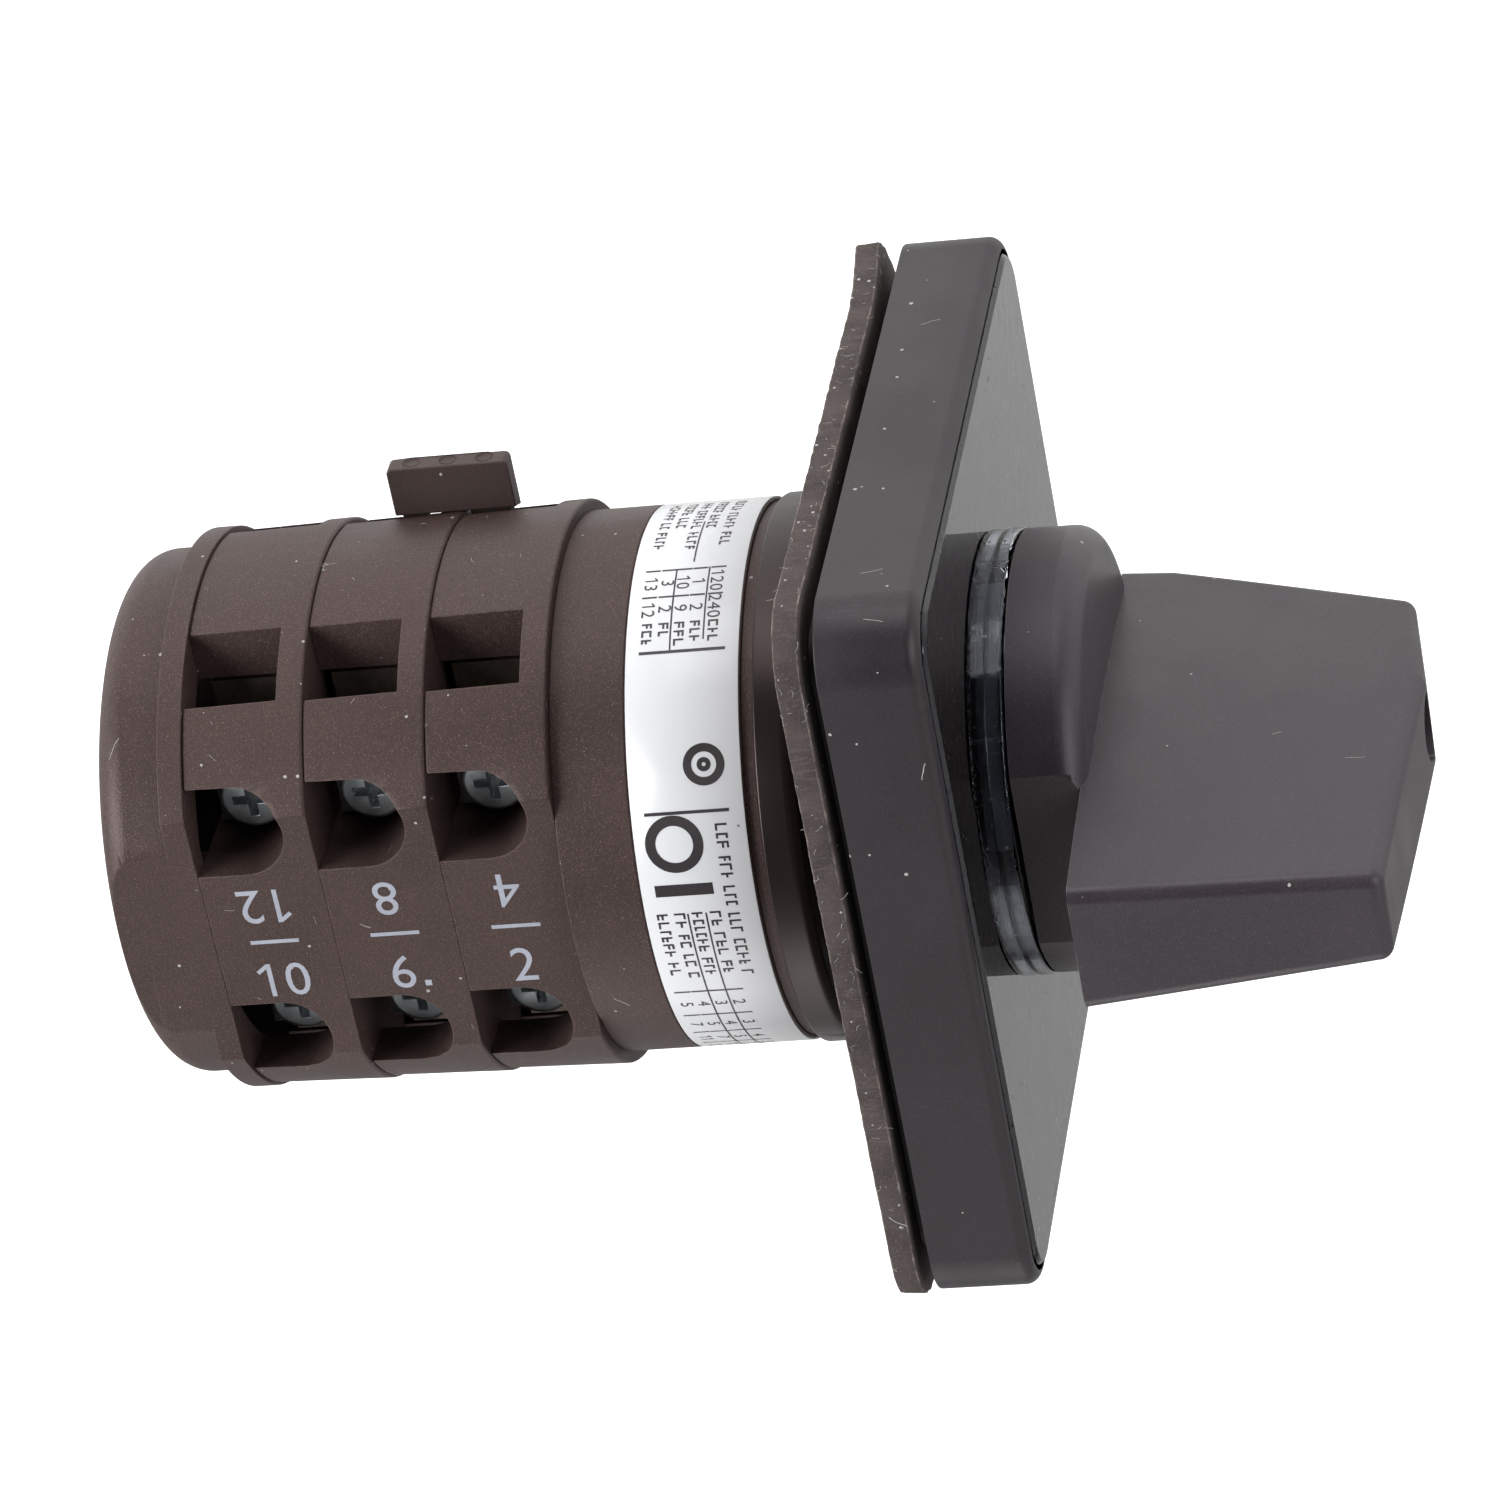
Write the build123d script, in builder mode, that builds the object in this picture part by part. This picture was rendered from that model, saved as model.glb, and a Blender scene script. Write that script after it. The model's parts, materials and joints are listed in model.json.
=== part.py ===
"""Panel-mounted rotary isolator switch: knob, front plate, one detent housing and three contact decks.

Frame: the origin is the centre of the rear face of the gasket, where the panel is clamped.
The switch axis is Y, with the knob towards -Y and the rear cover towards +Y. Z is up and X is to the right.
Sizes are in millimetres. A station is a distance along Y.
"""

import os
from math import cos, pi, sin

from build123d import *

# ---------------------------------------------------------------- driving dimensions
PLATE = 48.0  # side of the square front plate
PLATE_CORNER = 4.1
NECK_RADIUS = 11.0  # threaded neck, for a 22.3 mm panel hole
KNOB_RADIUS = 13.4
DECK_RADIUS = 17.2
FLAT = 15.0  # height of the flats above the switch axis
DECKS = 3
PITCH = 7.45  # from one deck to the next
TRAVEL = 1.9  # stroke of a contact follower
SHAFT = 5.0  # side of the square shaft
FIT = 0.06  # radial clearance of a running fit

# ---------------------------------------------------------------- stations, front to rear
KNOB_TIP = -33.05
GRIP_BASE = -13.8
SKIRT_TOP = -14.15
SKIRT_BASE = -9.75
BOSS_FRONT = -9.6
COVER_FRONT = -8.55
PLATE_FRONT = -8.3
LEGEND_FRONT = -7.1
LEGEND_REAR = -6.7
PLATE_REAR = -2.27
GASKET_FRONT = -1.45
RING_FRONT = 2.4
HOUSING_FRONT = 4.7
LABEL_FRONT = 5.5
LABEL_REAR = 12.4
HOUSING_REAR = 16.9
COVER_FLANGE = HOUSING_REAR + DECKS * PITCH
COVER_SHOULDER = COVER_FLANGE + 1.5
COVER_BACK = 45.2

# ---------------------------------------------------------------- front parts
SOCKET_DEPTH = 13.0  # of the knob's screw hole, from the tip
SCREW_HOLE = 2.3
SKIRT_CAVITY = 12.3
BOSS_RADIUS = 13.5
COVER_BORE = 12.6
NUT_RADIUS = 12.35
NUT_FRONT = -9.2
NECK_FRONT = -9.0
THREAD_PITCH = 1.5
THREAD_DEPTH = 0.45
RING_RADIUS = 16.7
HOUSING_RADIUS = 16.54
LABEL_DEPTH = 0.12

# ---------------------------------------------------------------- detent
JOURNAL = 6.5
STAR_MEAN = 7.3
STAR_WAVE = 0.7
STAR_FRONT = 7.2
STAR_REAR = 12.0
CHAMBER = 9.0
PLUNGER_TIP = STAR_MEAN + STAR_WAVE + 0.15
PLUNGER_REAR = 12.4
PLUNGER_RADIUS = 1.9
PLUNGER_STATION = (STAR_FRONT + STAR_REAR) / 2
SPRING_SEAT = 15.3
DETENT_COVER = 1.3
STAR_HUB = 4.7

# ---------------------------------------------------------------- one contact deck
WEB = 1.65  # front wall of a deck
POCKET = PITCH - WEB
DECK_DRAFT = 0.07
TIE_HEIGHT = 11.5  # tie screws above and below the axis
TIE_HOLE = 1.7
TIE_RADIUS = 1.45
CAM_LOW = 4.5
CAM_HIGH = CAM_LOW + TRAVEL
CAM_CAVITY = 6.9
CAM_BOSS = 4.9
CHANNEL = 2.4  # half height of the follower's channel
CHANNEL_END = 15.7
CONTACT_WIDTH = 4.4
BRIDGE = 8.2  # inner face of a contact bridge at rest
BRIDGE_HALF = 4.6
METAL = 0.8
RIVET = 0.5
CLOSED_GAP = 0.05
STRIP_TOP = 5.9
STRIP_START = 5.0
STRIP_END = BRIDGE + METAL + RIVET + TRAVEL + CLOSED_GAP + RIVET + METAL
TAB_FOOT = 2.6
CONTACT_HEIGHT = 3.8
DUCT_START = 9.0
DUCT_TOP = 10.3
TERMINAL = 7.4  # distance of a terminal screw from the vertical centre plane
OPENING = 2.72  # radius of the round end of a screwdriver opening
OPENING_STATION = WEB + OPENING  # of a terminal screw, behind its deck's front
CLAMP_TOP = 9.2
CLAMP_THICK = 0.9
HEAD_TOP = 11.0
HEAD_RADIUS = 2.0
SHANK = 1.5

# ---------------------------------------------------------------- rear cover and jumper
REAR_RADIUS = 16.2
REAR_ROUND = 2.0
COVER_WALL = 1.8
TAIL_RADIUS = 2.3
HEAD_SEAT = 42.6
JUMPER_TOP = -6.3
JUMPER_BOTTOM = -7.65
JUMPER_END = 19.35
JUMPER_START = 15.0
STRAP_START = 16.85
JUMPER_SPAN = (21.1, 28.7)


def span(side, a, b):
    """Two distances from the centre plane, on the right (1) or left (-1) side, in rising order."""
    return sorted((side * a, side * b))


def station(y):
    """The plane across the switch axis at y. It faces the knob, so an extrusion grows forwards."""
    return Plane.XZ.offset(-y)


def save(builder, name):
    """Label a finished piece and write it."""
    builder.part.label = name
    export_step(builder.part, f"parts/{name}.step")


def turned(points, mode=Mode.ADD):
    """Turn a closed (radius, y) outline about the switch axis, inside the open part."""
    with BuildSketch(Plane.XY) as profile:
        with BuildLine():
            Polyline(*points, close=True)
        make_face()
    revolve(profile.sketch, axis=Axis.Y, mode=mode)


def ring(inner, outer, front, rear, mode=Mode.ADD):
    """A plain ring about the switch axis."""
    turned([(inner, front), (outer, front), (outer, rear), (inner, rear)], mode)


def block(low, high, mode=Mode.ADD):
    """A box between two corners."""
    size = [b - a for a, b in zip(low, high)]
    centre = [(a + b) / 2 for a, b in zip(low, high)]
    with Locations(tuple(centre)):
        Box(*size, mode=mode)


def square_plate(side, corner, front, rear, mode=Mode.ADD):
    """A rounded square plate between two stations."""
    with BuildSketch(station(rear)) as outline:
        RectangleRounded(side, side, corner)
    extrude(outline.sketch, amount=rear - front, mode=mode)


def square_bore(side, front, rear):
    """A square hole on the switch axis."""
    with BuildSketch(station(rear)) as outline:
        Rectangle(side, side)
    extrude(outline.sketch, amount=rear - front, mode=Mode.SUBTRACT)


def coil(radius, wire, start, end, y, turns):
    """A compression spring along X, between two distances from the centre plane."""
    low, high = sorted((start, end))
    pitch = (high - low - 2 * wire) / turns
    path = Helix(pitch, pitch * turns, radius, center=(low + wire, y, 0), direction=(1, 0, 0))
    with BuildPart() as spring:
        with BuildSketch(Plane(origin=path @ 0, z_dir=path % 0)):
            Circle(wire / 2)
        sweep(path=path, is_frenet=True)
    return spring


# ---------------------------------------------------------------- knob and front plate
def grip_section(y, half_end, half_middle, tail, nose):
    """The grip's section at one station: two flat ends and two slightly bowed flanks."""
    middle = (tail + nose) / 2
    with BuildSketch(station(y)) as section:
        with BuildLine():
            ThreePointArc((half_end, tail), (half_middle, middle), (half_end, nose))
            Line((half_end, nose), (-half_end, nose))
            ThreePointArc((-half_end, nose), (-half_middle, middle), (-half_end, tail))
            Line((-half_end, tail), (half_end, tail))
        make_face()
    return section.sketch


def make_knob():
    """The pointer knob, whose nose overhangs a flat on its skirt."""
    tail, nose = -13.6, 22.0
    kink, shoulder, lip = -17.0, -31.9, -31.75
    with BuildPart() as grip:
        loft([
            grip_section(GRIP_BASE, 4.1, 5.0, tail, nose),
            grip_section(KNOB_TIP - 1, 2.75, 3.25, tail, nose),
        ])
        with BuildSketch(Plane.YZ):
            with BuildLine():
                Polyline(
                    (GRIP_BASE, tail), (kink, tail), (shoulder, -9.4), (KNOB_TIP, 0),
                    (lip, 20.6), (GRIP_BASE, nose), close=True,
                )
            make_face()
        extrude(amount=2 * NUT_RADIUS, both=True, mode=Mode.INTERSECT)
        upper = [e for e in grip.edges() if e.center().Y < GRIP_BASE - 0.1]
        fillet(upper, 0.9)
    with BuildPart() as knob:
        with BuildSketch(station(SKIRT_BASE)):
            Circle(KNOB_RADIUS)
            with Locations((0, KNOB_RADIUS + 12.05)):
                Rectangle(2 * KNOB_RADIUS, 2 * KNOB_RADIUS, mode=Mode.SUBTRACT)
        extrude(amount=SKIRT_BASE - SKIRT_TOP)
        rim = knob.edges().filter_by(GeomType.CIRCLE).sort_by(Axis.Y)[0]
        fillet(rim, 1.6)
        add(grip.part)
        with BuildSketch(station(SKIRT_BASE)):
            Circle(SKIRT_CAVITY)
            with Locations((0, SKIRT_CAVITY + 10.8)):
                Rectangle(2 * SKIRT_CAVITY, 2 * SKIRT_CAVITY, mode=Mode.SUBTRACT)
        extrude(amount=2.4, mode=Mode.SUBTRACT)
        ring(0, 4.8, SKIRT_BASE - 2.5, SKIRT_BASE - 0.15)
        ring(0, SCREW_HOLE, KNOB_TIP - 1, KNOB_TIP + SOCKET_DEPTH, Mode.SUBTRACT)
        ring(0, 1.7, KNOB_TIP, SKIRT_BASE, Mode.SUBTRACT)
        square_bore(SHAFT + 0.1, SKIRT_BASE - 7.3, SKIRT_BASE)
    save(knob, "knob")


def make_knob_screw():
    """The cross-slotted screw down the knob's hole, into the end of the shaft."""
    seat = KNOB_TIP + SOCKET_DEPTH
    with BuildPart() as screw:
        turned([(0, seat), (1.45, seat), (1.45, -9.0), (1.1, -8.4), (0, -8.4)])
        turned([(0, seat), (2.15, seat), (2.15, seat - 1.1), (1.5, seat - 1.7), (0, seat - 1.7)])
        with BuildSketch(station(seat - 0.6)):
            Rectangle(2.6, 0.5)
            Rectangle(0.5, 2.6)
        extrude(amount=2, mode=Mode.SUBTRACT)
    save(screw, "knob_screw")


def make_front_plate():
    """The square plate: bezel, legend plate, clear cover and gasket."""
    with BuildPart() as bezel:
        square_plate(PLATE, PLATE_CORNER, PLATE_FRONT, PLATE_REAR)
        fillet(bezel.faces().sort_by(Axis.Y)[0].edges(), 0.85)
        square_plate(PLATE - 1.9, PLATE_CORNER - 0.9, PLATE_FRONT - 1, LEGEND_REAR, Mode.SUBTRACT)
        square_plate(PLATE - 3.0, PLATE_CORNER - 1.5, -4.9, PLATE_REAR, Mode.SUBTRACT)
        square_plate(PLATE - 4.6, PLATE_CORNER - 1.7, -4.9, GASKET_FRONT)
        square_plate(PLATE - 7.0, 2.0, -4.9, GASKET_FRONT, Mode.SUBTRACT)
        ring(NECK_RADIUS + 0.1, NECK_RADIUS + 3, -4.9, GASKET_FRONT)
        ring(0, NECK_RADIUS + 0.15, -9, 0, Mode.SUBTRACT)
    save(bezel, "bezel")

    with BuildPart() as legend:
        square_plate(PLATE - 2.3, PLATE_CORNER - 1.0, LEGEND_FRONT, LEGEND_REAR)
        ring(0, COVER_BORE + 0.1, LEGEND_FRONT - 1, LEGEND_REAR + 1, Mode.SUBTRACT)
    save(legend, "legend_plate")

    with BuildPart() as cover:
        square_plate(PLATE - 2.1, PLATE_CORNER - 1.0, COVER_FRONT, LEGEND_FRONT)
        chamfer(cover.faces().sort_by(Axis.Y)[0].edges(), 0.3)
        ring(COVER_BORE - 1, BOSS_RADIUS, BOSS_FRONT, COVER_FRONT + 0.5)
        ring(0, COVER_BORE, BOSS_FRONT - 1, LEGEND_FRONT + 1, Mode.SUBTRACT)
        fillet(cover.edges().group_by(Axis.Y)[0], 0.15)
    save(cover, "clear_cover")

    with BuildPart() as gasket:
        square_plate(PLATE + 0.4, PLATE_CORNER + 0.2, GASKET_FRONT, 0)
        ring(0, NECK_RADIUS + 0.3, GASKET_FRONT - 1, 1, Mode.SUBTRACT)
    save(gasket, "gasket")


def make_neck_nut():
    """The slotted nut that draws the front plate onto the panel, hidden under the knob."""
    with BuildPart() as nut:
        ring(NECK_RADIUS + 0.05, NUT_RADIUS, NUT_FRONT, LEGEND_REAR)
        with BuildSketch(station(NUT_FRONT + 1.0)):
            Rectangle(2 * NUT_RADIUS, 2.4)
            Rectangle(2.4, 2 * NUT_RADIUS)
        extrude(amount=2, mode=Mode.SUBTRACT)
    save(nut, "neck_nut")


def make_lock_ring():
    """The smooth threaded ring behind the panel."""
    with BuildPart() as lock:
        ring(NECK_RADIUS + 0.08, RING_RADIUS, RING_FRONT, HOUSING_FRONT - 0.05)
        fillet(lock.edges().filter_by(GeomType.CIRCLE).sort_by(Axis.Y)[1], 0.7)
    save(lock, "lock_ring")


# ---------------------------------------------------------------- detent housing
def make_front_housing():
    """The housing behind the panel: threaded neck, detent chamber and seat for the label."""
    groove = HOUSING_RADIUS - 0.4
    seat = HOUSING_RADIUS - LABEL_DEPTH
    with BuildPart() as housing:
        turned([
            (0, NECK_FRONT), (NECK_RADIUS - 0.5, NECK_FRONT), (NECK_RADIUS, NECK_FRONT + 0.5),
            (NECK_RADIUS, HOUSING_FRONT), (groove, HOUSING_FRONT), (groove, LABEL_FRONT - 0.1),
            (seat, LABEL_FRONT - 0.1), (seat, LABEL_REAR), (HOUSING_RADIUS, LABEL_REAR),
            (HOUSING_RADIUS, HOUSING_REAR), (0, HOUSING_REAR),
        ])
        root = NECK_RADIUS - THREAD_DEPTH
        for turn in range(8):
            crest = NECK_FRONT + 1 + turn * THREAD_PITCH
            turned([
                (NECK_RADIUS + 1, crest + 0.2), (root, crest + 0.6), (root, crest + 0.9),
                (NECK_RADIUS + 1, crest + 1.3),
            ], Mode.SUBTRACT)
        ring(0, JOURNAL + FIT, NECK_FRONT - 1, STAR_FRONT, Mode.SUBTRACT)
        ring(0, CHAMBER, STAR_FRONT - 0.6, HOUSING_REAR + 1, Mode.SUBTRACT)
        ring(0, SPRING_SEAT, HOUSING_REAR - DETENT_COVER, HOUSING_REAR + 1, Mode.SUBTRACT)
        low = PLUNGER_STATION - PLUNGER_RADIUS - 0.1
        block(
            (-SPRING_SEAT, low, -PLUNGER_RADIUS - 0.1),
            (SPRING_SEAT, HOUSING_REAR, PLUNGER_RADIUS + 0.1),
            Mode.SUBTRACT,
        )
        for side in (-1, 1):
            with BuildSketch(station(HOUSING_REAR)):
                with Locations((0, side * TIE_HEIGHT)):
                    RegularPolygon(2.85, 6, major_radius=False)
            extrude(amount=HOUSING_REAR - 9.5, mode=Mode.SUBTRACT)
            with BuildSketch(station(HOUSING_REAR)):
                with Locations((0, side * TIE_HEIGHT)):
                    Circle(TIE_HOLE)
            extrude(amount=HOUSING_REAR - 8.3, mode=Mode.SUBTRACT)
    save(housing, "front_housing")


def make_rating_label():
    """The printed label wrapped round the housing."""
    with BuildPart() as label:
        ring(HOUSING_RADIUS - LABEL_DEPTH, HOUSING_RADIUS, LABEL_FRONT, LABEL_REAR - 0.1)
    save(label, "rating_label")


def make_detent_cover():
    """The disc that closes the detent chamber and holds the tie nuts."""
    with BuildPart() as cover:
        ring(STAR_HUB + 0.2, SPRING_SEAT - 0.1, HOUSING_REAR - DETENT_COVER, HOUSING_REAR - 0.05)
        with BuildSketch(station(HOUSING_REAR + 1)):
            with GridLocations(0, 2 * TIE_HEIGHT, 1, 2):
                Circle(TIE_HOLE)
        extrude(amount=4, mode=Mode.SUBTRACT)
    save(cover, "detent_cover")


def make_detent_star():
    """The star wheel with its long front journal and its short rear hub."""
    count = 48
    angles = [2 * pi * step / count for step in range(count)]
    radii = [STAR_MEAN - STAR_WAVE * cos(4 * angle) for angle in angles]
    outline = [(r * cos(angle), r * sin(angle)) for r, angle in zip(radii, angles)]
    with BuildPart() as star:
        with BuildSketch(station(STAR_REAR)):
            with BuildLine():
                Spline(*outline, periodic=True)
            make_face()
        extrude(amount=STAR_REAR - STAR_FRONT - 0.1)
        ring(0, JOURNAL, NECK_FRONT - 0.3, STAR_FRONT + 1)
        ring(0, STAR_HUB, STAR_REAR - 1, HOUSING_REAR - 0.1)
        square_bore(SHAFT + 0.1, NECK_FRONT - 1, HOUSING_REAR)
    save(star, "detent_star")


def make_plungers():
    """The two sprung plungers that press on the star wheel, and their springs."""
    nose = 0.9
    for name, side in (("right", 1), ("left", -1)):
        axis = Plane(origin=(side * PLUNGER_TIP, PLUNGER_STATION, 0), z_dir=(side, 0, 0))
        length = PLUNGER_REAR - PLUNGER_TIP
        with BuildPart() as plunger:
            with BuildSketch(axis):
                Circle(nose)
            extrude(amount=length)
            with BuildSketch(axis.offset(1.2)):
                Circle(PLUNGER_RADIUS)
            extrude(amount=length - 1.2)
            chamfer(plunger.edges().filter_by(GeomType.CIRCLE).group_by(Axis.X)[-side], 0.15)
        save(plunger, f"detent_plunger_{name}")
        spring = coil(1.3, 0.4, side * PLUNGER_REAR, side * (SPRING_SEAT - 0.05), PLUNGER_STATION, 3.5)
        save(spring, f"detent_spring_{name}")


# ---------------------------------------------------------------- contact decks
def deck_front(index):
    """The station of a deck's front face."""
    return HOUSING_REAR + index * PITCH


def four_blocks(low, high, mode=Mode.SUBTRACT):
    """A box in the quarter where X and Z are positive, and its three mirror images."""
    for side in (-1, 1):
        for level in (-1, 1):
            a = (side * low[0], low[1], level * low[2])
            b = (side * high[0], high[1], level * high[2])
            block(tuple(map(min, a, b)), tuple(map(max, a, b)), mode)


def make_deck(index):
    """A moulded deck: cam cavity, follower channels, four terminal pockets and their openings."""
    front = deck_front(index)
    rear = front + PITCH
    floor = front + WEB
    wide, narrow, edge = DECK_RADIUS + DECK_DRAFT, DECK_RADIUS - DECK_DRAFT, 0.12
    with BuildPart() as deck:
        turned([
            (0, front), (wide - edge, front), (wide, front + edge),
            (narrow, rear - edge), (narrow - edge, rear), (0, rear),
        ])
        split(bisect_by=Plane.XY.offset(FLAT), keep=Keep.BOTTOM)
        split(bisect_by=Plane.XY.offset(-FLAT), keep=Keep.TOP)
        ring(0, CAM_BOSS + FIT + 0.02, front - 1, rear + 1, Mode.SUBTRACT)
        ring(0, CAM_CAVITY, floor, rear + 1, Mode.SUBTRACT)
        block((-CHANNEL_END, floor, -CHANNEL), (CHANNEL_END, rear, CHANNEL), Mode.SUBTRACT)
        strip_floor = STRIP_TOP - METAL - 0.2
        four_blocks((BRIDGE - 0.3, floor, 0), (STRIP_END + 0.2, rear, strip_floor + 0.1))
        four_blocks((STRIP_START - 0.2, floor, strip_floor), (STRIP_END + 0.2, rear, STRIP_TOP + 0.05))
        four_blocks((DUCT_START, floor, STRIP_TOP), (DECK_RADIUS + 1, rear, DUCT_TOP))
        middle = front + OPENING_STATION
        for level in (-1, 1):
            pocket_floor = Plane(origin=(0, middle, level * STRIP_TOP), z_dir=(0, 0, level))
            with BuildSketch(pocket_floor):
                with GridLocations(2 * TERMINAL, 0, 2, 1):
                    Circle(OPENING)
            extrude(amount=FLAT, mode=Mode.SUBTRACT)
        four_blocks((TERMINAL - OPENING, middle, STRIP_TOP), (TERMINAL + OPENING, rear, FLAT + 1))
        with BuildSketch(station(rear + 1)):
            with GridLocations(0, 2 * TIE_HEIGHT, 1, 2):
                Circle(TIE_HOLE)
        extrude(amount=PITCH + 2, mode=Mode.SUBTRACT)
    save(deck, f"deck_{index + 1}")


def make_cam(index):
    """A cam with two lobes. Each follower sees the radius grow evenly over a quarter turn."""
    front = deck_front(index)
    steps, dwell, fall = 6, 8, 28
    rise = [(90 * k / steps, CAM_LOW + TRAVEL * k / steps) for k in range(steps + 1)]
    half = rise + [(90 + dwell, CAM_HIGH), (90 + dwell + fall, CAM_LOW), (165, CAM_LOW)]
    outline = []
    for turn in (0, 180):
        for degrees, radius in half:
            angle = (degrees + turn) * pi / 180
            outline.append((radius * cos(angle), radius * sin(angle)))
    with BuildPart() as cam:
        ring(0, CAM_BOSS, front + 0.05, front + WEB + 0.3)
        with BuildSketch(station(front + PITCH - 0.15)):
            Circle(CAM_LOW)
            with BuildLine():
                Polyline(*outline, close=True)
            make_face()
        extrude(amount=POCKET - 0.35)
        square_bore(SHAFT + 0.1, front - 1, front + PITCH)
    save(cam, f"cam_{index + 1}")


def make_contacts(index):
    """The moving contacts of a deck: for each side a follower, a bridge and a return spring."""
    centre = deck_front(index) + PITCH - POCKET / 2
    half = CONTACT_WIDTH / 2
    for name, side in (("right", 1), ("left", -1)):
        with BuildPart() as follower:
            x = span(side, CAM_LOW + 1.1, 13.0)
            block((x[0], centre - half, -2.2), (x[1], centre + half, 2.2))
            with BuildSketch(Plane.XZ.offset(-centre)):
                with Locations((side * (CAM_LOW + 1.12), 0)):
                    Circle(1.0)
            extrude(amount=half, both=True)
            x = span(side, BRIDGE - 0.02, 11.2)
            block((x[0], centre - 1.7, -3), (x[1], centre + 1.7, 3), Mode.SUBTRACT)
        save(follower, f"follower_{index + 1}_{name}")

        with BuildPart() as bridge:
            x = span(side, BRIDGE, BRIDGE + METAL)
            block((x[0], centre - 1.65, -BRIDGE_HALF), (x[1], centre + 1.65, BRIDGE_HALF))
            for level in (-1, 1):
                rivet = Plane(
                    origin=(side * (BRIDGE + METAL - 0.1), centre, level * CONTACT_HEIGHT), z_dir=(side, 0, 0)
                )
                with BuildSketch(rivet):
                    Circle(0.8)
                extrude(amount=RIVET + 0.1)
        save(bridge, f"contact_bridge_{index + 1}_{name}")

        spring = coil(1.55, 0.35, side * 13.05, side * (CHANNEL_END - 0.05), centre, 3)
        save(spring, f"return_spring_{index + 1}_{name}")


def make_terminals(index):
    """The four fixed contact strips of a deck, their clamp plates and their screws."""
    front = deck_front(index)
    centre = front + PITCH - POCKET / 2
    middle = front + OPENING_STATION
    half = CONTACT_WIDTH / 2
    with BuildPart() as strips:
        four_blocks(
            (STRIP_START, centre - half, STRIP_TOP - METAL), (STRIP_END, centre + half, STRIP_TOP), Mode.ADD
        )
        four_blocks(
            (STRIP_END - METAL, centre - half, TAB_FOOT), (STRIP_END, centre + half, STRIP_TOP), Mode.ADD
        )
        for side in (-1, 1):
            for level in (-1, 1):
                face = side * (STRIP_END - METAL + 0.1)
                rivet = Plane(origin=(face, centre, level * CONTACT_HEIGHT), z_dir=(-side, 0, 0))
                with BuildSketch(rivet):
                    Circle(0.8)
                extrude(amount=RIVET + 0.1)
        with BuildSketch(Plane(origin=(0, middle, -FLAT))):
            with GridLocations(2 * TERMINAL, 0, 2, 1):
                Circle(SHANK + 0.05)
        extrude(amount=2 * FLAT, mode=Mode.SUBTRACT)
    save(strips, f"terminals_{index + 1}")

    with BuildPart() as clamps:
        for level in (-1, 1):
            under = Plane(origin=(0, middle, level * (CLAMP_TOP - CLAMP_THICK)), z_dir=(0, 0, level))
            with BuildSketch(under):
                with GridLocations(2 * TERMINAL, 0, 2, 1):
                    Circle(OPENING - 0.25)
            extrude(amount=CLAMP_THICK)
        reach = OPENING - 0.25
        low = (TERMINAL - reach, middle, CLAMP_TOP - CLAMP_THICK)
        four_blocks(low, (TERMINAL + reach, middle + 2.6, CLAMP_TOP), Mode.ADD)
        with BuildSketch(Plane(origin=(0, middle, -FLAT))):
            with GridLocations(2 * TERMINAL, 0, 2, 1):
                Circle(SHANK + 0.05)
        extrude(amount=2 * FLAT, mode=Mode.SUBTRACT)
    save(clamps, f"clamp_plates_{index + 1}")

    with BuildPart() as screws:
        for level in (-1, 1):
            for height, radius, length in (
                (STRIP_TOP - METAL - 0.1, SHANK, CLAMP_TOP - STRIP_TOP + METAL + 0.2),
                (CLAMP_TOP, HEAD_RADIUS, HEAD_TOP - CLAMP_TOP),
            ):
                with BuildSketch(Plane(origin=(0, middle, level * height), z_dir=(0, 0, level))):
                    with GridLocations(2 * TERMINAL, 0, 2, 1):
                        Circle(radius)
                extrude(amount=length)
            tops = screws.edges().filter_by(GeomType.CIRCLE).group_by(Axis.Z)[-1 if level > 0 else 0]
            fillet(tops, 0.35)
            with BuildSketch(Plane(origin=(0, middle, level * (HEAD_TOP - 0.8)), z_dir=(0, 0, level))):
                with GridLocations(2 * TERMINAL, 0, 2, 1):
                    Rectangle(2.3, 0.55)
                    Rectangle(0.55, 2.3)
            extrude(amount=2, mode=Mode.SUBTRACT)
    save(screws, f"terminal_screws_{index + 1}")


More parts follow.
